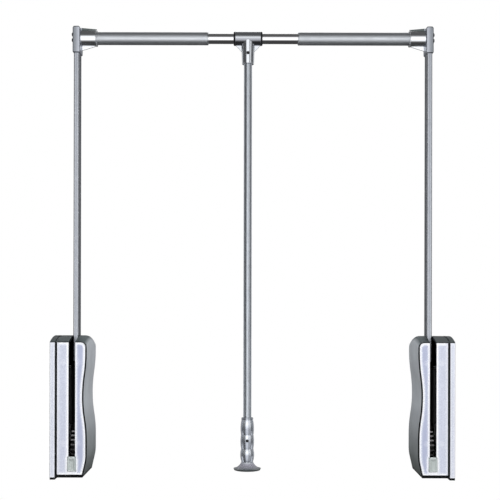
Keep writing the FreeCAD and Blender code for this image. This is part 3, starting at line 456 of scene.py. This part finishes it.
def makeGreyCover():
    # moulded grey plastic, dark on its rounded top, with painted shade towards the foot
    look = greyCoverLook
    made, tree, shader = newFinish("greyCover", {"Metallic": 0.0, "Specular IOR Level": look["specular"]})
    place, colour = mouldedBase(tree, shader, look)
    # painted shade, darker towards the foot
    foot = ramp(tree, axisValue(tree, place, "Z"), look["footReach"], 1.0, 0.0)
    colour = mixColour(tree, foot, colour, look["foot"])
    crown = ramp(tree, axisValue(tree, restNormal(tree), "Z"), look["crownTurn"])
    feed(tree, shader, colour=mixColour(tree, crown, colour, look["crown"]))
    return made


# the tips are measured from the axle: outwards, forward and upward
leverBlackLook = {
    "base": (0.006, 0.006, 0.007, 1), "pale": (0.010, 0.010, 0.011, 1), "fineness": 1700.0,
    "rub": (0.30, 0.30, 0.31, 1), "rubbed": 0.8, "tip": (0.86, 0.84, 0.87, 1), "tipMetal": 0.6,
    "tipRadius": (0.0360, 0.0368), "tipFront": (0.0165, 0.0185), "tipRise": (0.002, 0.012), "tipLow": 0.12,
    "rough": 0.40, "specular": 0.25, "relief": 0.00004, "edge": 0.0005,
}


def makeLeverBlack():
    # black-coated steel, rubbed grey on its edges and worn bare on the tips of the sector's teeth, both
    # also painted bright as glints
    look = leverBlackLook
    made, tree, shader = newFinish("leverBlack", {"Specular IOR Level": look["specular"]})
    place, colour = mouldedBase(tree, shader, look)
    fromAxle = flatOffset(tree, place, boxMiddle("left_axle"), fromSide)
    forward = times(tree, axisValue(tree, fromAxle, "Y"), -1.0)
    # painted glint on the teeth's tips, also bare worn metal
    tip = times(tree, ramp(tree, lengthOf(tree, fromAxle), look["tipRadius"]),
                ramp(tree, forward, look["tipFront"]))
    tip = times(tree, tip, ramp(tree, axisValue(tree, fromAxle, "Z"), look["tipRise"], look["tipLow"]))
    colour = mixColour(tree, tip, colour, look["tip"])
    feed(tree, shader, colour=colour, metal=times(tree, tip, look["tipMetal"]))
    return made


metalSet = {"streakReach": (0.35, 0.65), "lineReach": (0.3, 0.7), "strength": 0.4}


def makeMetal(name, look):
    # drawn, ground or plated metal with lines along one direction
    made, tree, shader = newFinish(name, {"Metallic": 1.0})
    place = objectSpace(tree)
    lines = placeGroup(tree, drawnLines, Place=place, Squeeze=look["squeeze"], Fineness=look["fineness"])
    marks = placeGroup(tree, handMarks, Place=place)
    colour = twoTone(tree, lines["Streaks"], metalSet["streakReach"], look)
    colour = mixColour(tree, times(tree, marks["Smear"], look["smear"]), colour, look["dull"])
    roughest = look["rough"] + look["roughVary"]
    rough = ramp(tree, lines["Lines"], metalSet["lineReach"], look["rough"], roughest)
    rough = plus(tree, rough, times(tree, marks["Smear"], look["smearRough"]))
    feed(tree, shader, colour=colour, rough=rough)
    relief = plus(tree, lines["Lines"], times(tree, marks["Scuff"], look["scuff"]))
    setBump(tree, shader, relief, look, metalSet["strength"])
    return made


chromeLook = {
    "base": (0.80, 0.80, 0.82, 1), "pale": (0.86, 0.86, 0.88, 1), "dull": (0.62, 0.63, 0.66, 1),
    "squeeze": (0.02, 1.0, 1.0), "fineness": 1500.0, "smear": 0.25, "smearRough": 0.05, "scuff": 0.3,
    "rough": 0.07, "roughVary": 0.05, "relief": 0.000008, "edge": 0.0003,
}
railSatinLook = {
    "base": (0.66, 0.69, 0.73, 1), "pale": (0.79, 0.82, 0.865, 1), "dull": (0.60, 0.625, 0.66, 1),
    "squeeze": (0.012, 1.0, 1.0), "fineness": 2100.0, "smear": 0.2, "smearRough": 0.05, "scuff": 0.4,
    "rough": 0.43, "roughVary": 0.10, "relief": 0.00003, "edge": 0.0004,
}
rodSatinLook = {
    "base": (0.56, 0.60, 0.65, 1), "pale": (0.65, 0.69, 0.75, 1), "dull": (0.49, 0.525, 0.57, 1),
    "squeeze": (1.0, 1.0, 0.012), "fineness": 2100.0, "smear": 0.25, "smearRough": 0.06, "scuff": 0.4,
    "rough": 0.34, "roughVary": 0.10, "relief": 0.00003, "edge": 0.0004,
}
brightSteelLook = {
    "base": (0.56, 0.56, 0.57, 1), "pale": (0.64, 0.64, 0.65, 1), "dull": (0.40, 0.39, 0.38, 1),
    "squeeze": (1.0, 0.05, 0.05), "fineness": 2400.0, "smear": 0.4, "smearRough": 0.1, "scuff": 0.5,
    "rough": 0.25, "roughVary": 0.12, "relief": 0.00003, "edge": 0.0004,
}
springSteelLook = {
    "base": (0.26, 0.26, 0.28, 1), "pale": (0.36, 0.36, 0.38, 1), "dull": (0.16, 0.15, 0.15, 1),
    "squeeze": (0.3, 0.3, 1.0), "fineness": 1600.0, "smear": 0.5, "smearRough": 0.12, "scuff": 0.5,
    "rough": 0.30, "roughVary": 0.12, "relief": 0.00003, "edge": 0.0002,
}


silverSet = {"roughVary": 0.04, "smearRough": 0.06, "strength": 0.4}


def flakedBase(tree, shader, look):
    # what the silver pieces share: paint flakes under a slight orange peel
    place = objectSpace(tree)
    flake = placeGroup(tree, metalFlake, Place=place, Fineness=look["fineness"])
    setBump(tree, shader, flake["Height"], look, silverSet["strength"])
    return place, flake["Sparkle"]


def flakedRough(tree, place, sparkle, look):
    vary = silverSet["roughVary"]
    rough = ramp(tree, sparkle, wholeRange, look["rough"] - vary, look["rough"] + vary)
    return smeared(tree, place, rough, silverSet["smearRough"])


def makeSilverLacquer(name, look):
    # silver paint with fine flakes, over plastic or steel
    made, tree, shader = newFinish(name, {
        "Metallic": look["metallic"], "Coat Roughness": look["coatRough"], "Coat Weight": look["coat"]})
    place, sparkle = flakedBase(tree, shader, look)
    colour = twoTone(tree, sparkle, wholeRange, look)
    # rubbed edges; where the rub is nearly whole along the edge, as on the arms, it is a painted highlight
    rub = rubMask(tree, place, look["edgeWidth"], look["rubbed"], look["whole"], look["edgeTurn"])
    colour = dusted(tree, place, mixColour(tree, rub, colour, look["rub"]), look)
    feed(tree, shader, colour=colour, rough=flakedRough(tree, place, sparkle, look))
    return made


silverPlasticLook = {
    "base": (0.58, 0.61, 0.65, 1), "pale": (0.63, 0.66, 0.70, 1), "fineness": 2600.0,
    "rub": (0.50, 0.52, 0.55, 1), "rubbed": 0.4, "whole": 0.0, "edgeWidth": 0.0012, "edgeTurn": usualTurn,
    "dust": (0.50, 0.50, 0.48, 1), "dusty": 0.15, "metallic": 1.0, "rough": 0.15, "coat": 0.1,
    "coatRough": 0.12, "relief": 0.00003, "edge": 0.0007,
}
# the arms' edges carry a painted highlight, nearly whole along them, over some wear
armSilverLook = {
    "base": (0.28, 0.30, 0.34, 1), "pale": (0.32, 0.34, 0.38, 1), "fineness": 3000.0,
    "rub": (0.62, 0.64, 0.68, 1), "rubbed": 0.8, "whole": 0.8, "edgeWidth": 0.006, "edgeTurn": (0.90, 0.998),
    "dust": (0.50, 0.50, 0.48, 1), "dusty": 0.2, "metallic": 0.95, "rough": 0.30, "coat": 0.15,
    "coatRough": 0.25, "relief": 0.00004, "edge": 0.0006,
}
zincLook = {
    "base": (0.36, 0.36, 0.37, 1), "pale": (0.46, 0.46, 0.47, 1), "fineness": 1400.0,
    "rub": (0.62, 0.62, 0.62, 1), "rubbed": 0.8, "whole": 0.0, "edgeWidth": 0.0012, "edgeTurn": usualTurn,
    "dust": (0.30, 0.29, 0.27, 1), "dusty": 0.2, "metallic": 0.9, "rough": 0.42, "coat": 0.0,
    "coatRough": 0.2, "relief": 0.00010, "edge": 0.0005,
}
# the bright colour, a painted highlight on the cap's inner side, and the polished socket end over their
# reach outside the arm's line; the rib colour is a painted shade next to the bracket's top
bracketLook = {
    "base": (0.25, 0.27, 0.30, 1), "pale": (0.31, 0.33, 0.36, 1), "fineness": 2600.0,
    "rub": (0.50, 0.52, 0.55, 1), "rubbed": 0.5, "whole": 0.3, "edgeWidth": 0.0014,
    "bright": (0.58, 0.61, 0.68, 1), "brightReach": (-0.0060, 0.0025),
    "polished": (0.82, 0.84, 0.87, 1), "polishReach": (-0.0087, -0.0077),
    "rib": (0.09, 0.105, 0.105, 1), "ribReach": (-0.0062, -0.0056),
    "metallic": 1.0, "roughCap": 0.34, "roughSocket": 0.13, "smearRough": 0.05,
    "relief": 0.00003, "edge": 0.0007,
}


def makeBracketSilver():
    # painted cap with a painted highlight on its inner side, and a socket polished bright where the rail
    # goes in, with painted shade on the rib on top
    look = bracketLook
    top = boxCorners("left_rail_bracket")[1].z
    made, tree, shader = newFinish("bracketSilver", {"Metallic": look["metallic"]})
    place, sparkle = flakedBase(tree, shader, look)
    colour = twoTone(tree, sparkle, wholeRange, look)
    outside = pastArm(tree, place)
    # painted highlight on the cap's inner side
    colour = mixColour(tree, ramp(tree, outside, look["brightReach"], 1.0, 0.0), colour, look["bright"])
    rub = rubMask(tree, place, look["edgeWidth"], look["rubbed"], look["whole"])
    colour = mixColour(tree, rub, colour, look["rub"])
    socket = ramp(tree, outside, look["polishReach"], 1.0, 0.0)
    colour = mixColour(tree, socket, colour, look["polished"])
    # painted shade on the rib next to the top
    rib = times(tree, socket, ramp(tree, minus(tree, axisValue(tree, place, "Z"), top), look["ribReach"]))
    rough = ramp(tree, socket, wholeRange, look["roughCap"], look["roughSocket"])
    feed(tree, shader, colour=mixColour(tree, rib, colour, look["rib"]),
         rough=smeared(tree, place, rough, look["smearRough"]))
    return made


# metallic, rough and coat are each for the grip and for the foot
handleSilverLook = {
    "base": (0.335, 0.36, 0.41, 1), "pale": (0.39, 0.415, 0.47, 1), "fineness": 2600.0,
    "shoulder": (0.76, 0.80, 0.86, 1), "shoulderTurn": (-0.01, 0.13), "shoulderFront": (0.45, 0.85),
    "foot": (0.25, 0.245, 0.29, 1), "footTop": (0.0125, 0.0155),
    "rim": (0.040, 0.048, 0.050, 1), "rimReach": (0.009, 0.026),
    "metallic": (0.85, 0.1), "rough": (0.20, 0.5), "coat": (0.4, 0.0), "coatRough": 0.08,
    "relief": 0.00003, "edge": 0.0007,
}


def makeHandleSilver():
    # silver-painted grip with a painted highlight on the shoulders of its swells, where they face up and
    # forward, and a duller foot with painted shade towards its rim
    look = handleSilverLook
    bottom = boxCorners("handle")[0].z
    made, tree, shader = newFinish("handleSilver", {"Coat Roughness": look["coatRough"]})
    place, sparkle = flakedBase(tree, shader, look)
    colour = twoTone(tree, sparkle, wholeRange, look)
    normal = restNormal(tree)
    ahead = times(tree, axisValue(tree, normal, "Y"), -1.0)
    # painted highlight where the swells face up and forward
    shoulder = times(tree, ramp(tree, axisValue(tree, normal, "Z"), look["shoulderTurn"]),
                     ramp(tree, ahead, look["shoulderFront"]))
    colour = mixColour(tree, shoulder, colour, look["shoulder"])
    foot = ramp(tree, minus(tree, axisValue(tree, place, "Z"), bottom), look["footTop"], 1.0, 0.0)
    outward = lengthOf(tree, flatOffset(tree, place, boxMiddle("handle"), fromAbove))
    # painted shade towards the foot's outer rim
    footColour = mixColour(tree, ramp(tree, outward, look["rimReach"]), look["foot"], look["rim"])
    metal, rough, coat = (ramp(tree, foot, wholeRange, *look[key]) for key in ("metallic", "rough", "coat"))
    feed(tree, shader, colour=mixColour(tree, foot, colour, footColour), metal=metal, coat=coat,
         rough=smeared(tree, place, rough, silverSet["smearRough"]))
    return made


# the under colour is a painted shade on the barrel's lower half, within barrelSkin of its radius; the
# recess colour is a painted shade in the screw recess, and recessEdge is past the screw's head
teeSilverLook = {
    "base": (0.66, 0.69, 0.73, 1), "pale": (0.72, 0.75, 0.79, 1), "fineness": 2600.0,
    "under": (0.30, 0.31, 0.34, 1), "underReach": (-0.0032, 0.0012), "barrelSkin": (0.0001, 0.0003),
    "recess": (0.02, 0.02, 0.022, 1), "recessEdge": (0.0003, 0.0005),
    "rough": 0.17, "relief": 0.00003, "edge": 0.0007,
}


def makeTeeSilver():
    # polished casting, with painted shade on the barrel's lower half and in the screw recess
    look = teeSilverLook
    low, high = boxCorners("tee")
    screwLow, screwHigh = boxCorners("tee_screw")
    screw = (screwLow + screwHigh) / 2
    screwRadius = (screwHigh.z - screwLow.z) / 2
    barrelRadius = (high.y - low.y) / 2
    made, tree, shader = newFinish("teeSilver", {"Metallic": 1.0})
    place, sparkle = flakedBase(tree, shader, look)
    colour = twoTone(tree, sparkle, wholeRange, look)
    fromAxis = flatOffset(tree, place, (0.0, 0.0, high.z - barrelRadius), fromSide)
    proud = minus(tree, lengthOf(tree, fromAxis), barrelRadius)
    # painted shade on the barrel's lower half
    under = times(tree, ramp(tree, proud, look["barrelSkin"], 1.0, 0.0),
                  ramp(tree, axisValue(tree, fromAxis, "Z"), look["underReach"], 1.0, 0.0))
    colour = mixColour(tree, under, colour, look["under"])
    pastScrew = minus(tree, lengthOf(tree, flatOffset(tree, place, screw, fromFront)), screwRadius)
    # painted shade in the screw recess
    recess = times(tree, ramp(tree, pastScrew, look["recessEdge"], 1.0, 0.0),
                   ramp(tree, axisValue(tree, place, "Y"), (screwLow.y, screw.y), 1.0, 0.0))
    feed(tree, shader, colour=mixColour(tree, recess, colour, look["recess"]),
         rough=flakedRough(tree, place, sparkle, look))
    return made


bumperLook = {
    "base": (0.34, 0.375, 0.37, 1), "pale": (0.41, 0.445, 0.44, 1),
    "fineness": 700.0, "toneReach": (0.3, 0.7),
    "subsurface": 0.35, "subsurfaceReach": 0.006, "subsurfaceTint": (1.0, 1.0, 1.0), "specular": 0.45,
    "rough": (0.33, 0.43), "smearRough": 0.08, "relief": 0.00003, "edge": 0.0006, "strength": 0.5,
}


def makeBumperRubber():
    # pale, slightly milky soft plastic
    look = bumperLook
    made, tree, shader = newFinish("bumperRubber", {
        "Subsurface Weight": look["subsurface"], "Subsurface Scale": look["subsurfaceReach"],
        "Subsurface Radius": look["subsurfaceTint"], "Specular IOR Level": look["specular"]})
    place = objectSpace(tree)
    grain = placeGroup(tree, mouldGrain, Place=place, Fineness=look["fineness"])
    rough = ramp(tree, grain["Height"], wholeRange, *look["rough"])
    feed(tree, shader, colour=twoTone(tree, grain["Tone"], look["toneReach"], look),
         rough=smeared(tree, place, rough, look["smearRough"]))
    setBump(tree, shader, grain["Height"], look, look["strength"])
    return made


finishes = {
    "silver_cover": makeSilverCover(),
    "charcoal_plastic": makePlastic("charcoalPlastic", charcoalLook),
    "grey_cover": makeGreyCover(),
    "bumper_rubber": makeBumperRubber(),
    "black_screw": makePlastic("blackScrew", blackScrewLook),
    "bright_steel": makeMetal("brightSteel", brightSteelLook),
    "spring_steel": makeMetal("springSteel", springSteelLook),
    "black_plastic": makePlastic("blackPlastic", blackPlasticLook),
    "dark_plastic": makePlastic("darkPlastic", darkPlasticLook),
    "white_acetal": makePlastic("whiteAcetal", acetalLook),
    "zinc_casting": makeSilverLacquer("zincCasting", zincLook),
    "arm_silver": makeSilverLacquer("armSilver", armSilverLook),
    "rail_satin": makeMetal("railSatin", railSatinLook),
    "rod_satin": makeMetal("rodSatin", rodSatinLook),
    "chrome_tube": makeMetal("chromeTube", chromeLook),
    "silver_plastic": makeSilverLacquer("silverPlastic", silverPlasticLook),
    "handle_silver": makeHandleSilver(),
    "bracket_silver": makeBracketSilver(),
    "tee_silver": makeTeeSilver(),
    "lever_black": makeLeverBlack(),
}
print("finishes made:", len(finishes))


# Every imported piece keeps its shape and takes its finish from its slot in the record, or has its own

ownFinish = {"pull_rod": "rod_satin", "handle": "handle_silver", "tee": "tee_silver"}
for side in sides:
    ownFinish[side + "_rail_bracket"] = "bracket_silver"
    ownFinish[side + "_arm_root"] = "lever_black"


def dressNodes():
    for part in frame["record"]["subparts"]:
        name = part["node"]
        finish = finishes[ownFinish.get(name, part["material_slot"])]
        for place in frame["nodes"][name].material_slots:
            place.material = finish


dressNodes()
print("packed pieces dressed")


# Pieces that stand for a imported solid

def skin(name, loops, body, slot, node):
    # closed mesh through rings of equal length, capped at both ends
    form = bmesh.new()
    rings = [[form.verts.new(point) for point in loop] for loop in loops]
    count = len(rings[0])
    for near, far in zip(rings, rings[1:]):
        for i in range(count):
            j = (i + 1) % count
            form.faces.new((near[i], near[j], far[j], far[i]))
    form.faces.new(rings[0])
    form.faces.new(rings[-1])
    bmesh.ops.recalc_face_normals(form, faces=form.faces)
    mesh = bpy.data.meshes.new(name)
    form.to_mesh(mesh)
    form.free()
    mesh.materials.append(finishes[slot])
    for face in mesh.polygons:
        face.use_smooth = True
    piece = bpy.data.objects.new(name, mesh)
    bpy.context.scene.collection.objects.link(piece)
    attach(piece, body)
    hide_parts(node)
    return piece


# tipHeight is a share of the wire, pressed the share of the length that is left at full swing
springShape = {"turns": 17, "wire": 0.0028, "closedTurns": 1.3, "tipHeight": 0.12, "turnSteps": 36,
               "wireSteps": 14, "pressed": 0.7505}


def springHeights(low, high):
    # height of the wire's middle at each step: closed turns at both ends, even pitch between
    shape = springShape
    start = low + shape["tipHeight"] * shape["wire"]
    rise = high - low - 2 * shape["tipHeight"] * shape["wire"]
    closed = shape["closedTurns"]
    openPitch = (rise - 2 * closed * shape["wire"]) / (shape["turns"] - 2 * closed)
    heights = []
    for step in range(shape["turns"] * shape["turnSteps"] + 1):
        turn = step / shape["turnSteps"]
        below = min(turn, closed)
        above = max(turn - shape["turns"] + closed, 0.0)
        heights.append(start + (below + above) * shape["wire"] + (turn - below - above) * openPitch)
    return heights


def buildSpring(side):
    # coil with closed ends, ground flat where they meet the plunger and the sleeve's cap
    shape = springShape
    node = side + "_lift_spring"
    low, high = boxCorners(node)
    axis = (low + high) / 2
    radius = (high.x - low.x - shape["wire"]) / 2
    loops = []
    for step, height in enumerate(springHeights(low.z, high.z)):
        angle = 2 * math.pi * step / shape["turnSteps"]
        outward = Vector((math.cos(angle), math.sin(angle), 0))
        middle = Vector((axis.x, axis.y, height)) + outward * radius
        loop = []
        for i in range(shape["wireSteps"]):
            roll = 2 * math.pi * i / shape["wireSteps"]
            point = middle + (outward * math.cos(roll) + Vector((0, 0, math.sin(roll)))) * shape["wire"] / 2
            point.z = min(max(point.z, low.z), high.z)
            loop.append(point)
        loops.append(loop)
    piece = skin(side + "_spring_coil", loops, side + "_housing", "spring_steel", node)
    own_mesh(piece)


# crownInset and crownDepth are shares of the lip and of the panel's depth
bumperShape = {"topRound": 0.0036, "bottomRound": 0.0022, "leastRound": 0.0001, "cornerSteps": 8,
               "edge": 0.0016, "edgeSteps": 5, "seatDepth": 0.006, "lip": 0.0022, "topLip": 0.0044,
               "panelDepth": 0.0011, "panelSlope": 0.0008, "crownInset": 2.0, "crownDepth": 0.8,
               "tongueHalf": 0.0062, "tongueRise": 0.0055, "tongueRound": 0.0003}


def roundedLoop(centre, half, bottom, top, bottomRound, topRound, depth):
    # upright ring with rounded corners, at one depth
    loop = []
    steps = bumperShape["cornerSteps"]
    corners = ((1, top, topRound), (-1, top, topRound), (-1, bottom, bottomRound), (1, bottom, bottomRound))
    for quarter, (sign, height, radius) in enumerate(corners):
        radius = max(radius, bumperShape["leastRound"])
        middleX = centre + sign * (half - radius)
        middleZ = height - radius if height == top else height + radius
        for i in range(steps + 1):
            angle = math.pi / 2 * (quarter + i / steps)
            x = middleX + radius * math.cos(angle)
            z = middleZ + radius * math.sin(angle)
            loop.append(Vector((x, depth, z)))
    return loop


def buildBumper(side):
    # soft pad with a raised lip round a shallow panel, and a tongue that sits in the slot behind it
    shape = bumperShape
    node = side + "_bumper"
    low, high = boxCorners(node)
    centre = (low.x + high.x) / 2
    half = (high.x - low.x) / 2
    seat = low.y + shape["seatDepth"]

    def ring(inset, topInset, depth):
        return roundedLoop(centre, half - inset, low.z + inset, high.z - topInset,
                           shape["bottomRound"] - inset, shape["topRound"] - topInset, depth)

    loops = [
        roundedLoop(centre, shape["tongueHalf"], low.z + shape["tongueRise"], high.z, shape["tongueRound"],
                    shape["tongueRound"], depth)
        for depth in (high.y, seat)
    ]
    loops.append(ring(0.0, 0.0, seat))
    for i in range(shape["edgeSteps"] + 1):
        angle = math.pi / 2 * i / shape["edgeSteps"]
        inset = shape["edge"] * (1 - math.cos(angle))
        loops.append(ring(inset, inset, low.y + shape["edge"] * (1 - math.sin(angle))))
    loops.append(ring(shape["lip"], shape["topLip"], low.y))
    inner = shape["lip"] + shape["panelSlope"]
    loops.append(ring(inner, shape["topLip"] + shape["panelSlope"], low.y + shape["panelDepth"]))
    loops.append(ring(inner * shape["crownInset"], shape["topLip"] * shape["crownInset"],
                      low.y + shape["panelDepth"] * shape["crownDepth"]))
    skin(side + "_bumper_pad", loops, side + "_housing", "bumper_rubber", node)


for side in sides:
    buildSpring(side)
    buildBumper(side)
print("springs and bumpers built")


# Studio: the eye sees white all round, while light and reflections come from softboxes in a dim room

studio = {"backdrop": 1.0, "below": 0.055, "above": 0.11, "dimReach": (-0.6, 0.4), "boxEdge": 8.0}
# span in degrees round from straight ahead, to the right, or to both sides where mirrored;
# foot and head are the sine of the elevation where a box begins and ends
softboxes = (
    {"span": (-28.0, 24.0), "mirrored": False, "foot": (-0.90, -0.35), "head": (0.74, 0.06), "light": 1.4},
    {"span": (37.0, 60.0), "mirrored": False, "foot": (-0.90, -0.35), "head": (0.74, 0.06), "light": 0.95},
    {"span": (118.0, 150.0), "mirrored": True, "foot": (-0.7, -0.4), "head": (0.5, 0.2), "light": 0.75},
    {"span": (76.0, 104.0), "mirrored": True, "foot": (-0.85, -0.6), "head": (-0.12, -0.30), "light": 1.4},
    {"span": (120.0, 190.0), "mirrored": True, "foot": (0.28, 0.42), "head": (0.76, 0.62), "light": 1.5},
)


def buildWorld():
    world = bpy.data.worlds.new("studioWorld")
    world.use_nodes = True
    tree = world.node_tree
    tree.nodes.clear()
    toward = putNode(tree, "SeparateXYZ", {0: putNode(tree, "TexCoord").outputs["Generated"]}).outputs
    ahead = times(tree, toward["Y"], -1.0)
    turn = mathNode(tree, "DEGREES", mathNode(tree, "ARCTAN2", toward["X"], ahead))
    eitherWay = mathNode(tree, "ABSOLUTE", turn)
    glow = ramp(tree, toward["Z"], studio["dimReach"], studio["below"], studio["above"])
    edge = studio["boxEdge"]
    for box in softboxes:
        start, end = box["span"]
        around = eitherWay if box["mirrored"] else turn
        wide = times(tree, softStep(tree, around, (start - edge, start + edge)),
                     softStep(tree, around, (end + edge, end - edge)))
        tall = times(tree, softStep(tree, toward["Z"], box["foot"]),
                     softStep(tree, toward["Z"], box["head"]))
        glow = plus(tree, times(tree, times(tree, wide, tall), box["light"]), glow)
    light = putNode(tree, "Background", {"Color": glow})
    seen = putNode(tree, "Background", {"Color": (studio["backdrop"],) * 3 + (1,)})
    eye = putNode(tree, "LightPath").outputs["Is Camera Ray"]
    both = putNode(tree, "MixShader", {0: eye, 1: light.outputs[0], 2: seen.outputs[0]})
    output = tree.nodes.new("ShaderNodeOutputWorld")
    tree.links.new(both.outputs[0], output.inputs["Surface"])
    bpy.context.scene.world = world


floorLook = {"height": -0.86, "radius": 4.0, "fade": (3.8, 1.6), "steps": 96, "tone": 0.86, "rough": 0.9,
             "specular": 0.1}


def buildFloor():
    # pale disc that fades into the white
    look = floorLook
    mesh = bpy.data.meshes.new("floor")
    form = bmesh.new()
    bmesh.ops.create_circle(form, cap_ends=True, segments=look["steps"], radius=look["radius"])
    form.to_mesh(mesh)
    form.free()
    floor = bpy.data.objects.new("floor", mesh)
    floor.location.z = look["height"]
    bpy.context.scene.collection.objects.link(floor)
    made, tree, shader = newFinish("paleFloor", {
        "Roughness": look["rough"], "Specular IOR Level": look["specular"],
        "Base Color": (look["tone"],) * 3 + (1,)})
    fade = softStep(tree, lengthOf(tree, objectSpace(tree)), look["fade"])
    tree.links.new(fade, shader.inputs["Alpha"])
    mesh.materials.append(made)
    floor.visible_glossy = False


railMiddle = (0.0, 0.0, 0.45)
lowMiddle = (0.0, 0.0, 0.2)      # between the two housings
lamps = (
    {"name": "softFront", "place": (1.1, -2.2, 0.8), "aim": railMiddle, "size": (1.2, 1.2), "power": 24.0},
    {"name": "softBack", "place": (0.0, 2.4, 1.2), "aim": railMiddle, "size": (1.6, 1.2), "power": 40.0},
    {"name": "softTop", "place": (0.0, -0.3, 2.6), "aim": railMiddle, "size": (2.4, 1.8), "power": 18.0},
    {"name": "softMiddle", "place": (0.0, -0.4, 0.7), "aim": lowMiddle, "size": (0.4, 0.4), "power": 6.6},
)


def addLamp(lamp):
    # lights the part, but is not seen in its reflections
    data = bpy.data.lights.new(lamp["name"], "AREA")
    data.shape = "RECTANGLE"
    data.size, data.size_y = lamp["size"]
    data.energy = lamp["power"]
    holder = bpy.data.objects.new(lamp["name"], data)
    holder.location = lamp["place"]
    aim = Vector(lamp["aim"]) - Vector(lamp["place"])
    holder.rotation_euler = aim.to_track_quat("-Z", "Y").to_euler()
    holder.visible_camera = False
    holder.visible_glossy = False
    bpy.context.scene.collection.objects.link(holder)


buildWorld()
buildFloor()
for lamp in lamps:
    addLamp(lamp)
print("studio set")


# Camera in front, about two metres away, a hand's width above the housings

cameraSet = {"place": (-0.0051, -2.027, 0.3434), "roll": -0.12, "lens": 74.1, "sensor": 36.0,
             "shiftUp": 0.1014}


def buildCamera():
    data = bpy.data.cameras.new("camera")
    data.lens = cameraSet["lens"]
    data.sensor_width = cameraSet["sensor"]
    data.shift_y = cameraSet["shiftUp"]
    camera = bpy.data.objects.new("camera", data)
    camera.location = cameraSet["place"]
    camera.rotation_euler = (math.radians(90), math.radians(cameraSet["roll"]), 0)
    bpy.context.scene.collection.objects.link(camera)
    bpy.context.scene.camera = camera


buildCamera()
bpy.context.scene.view_settings.view_transform = "Standard"
print("camera set")
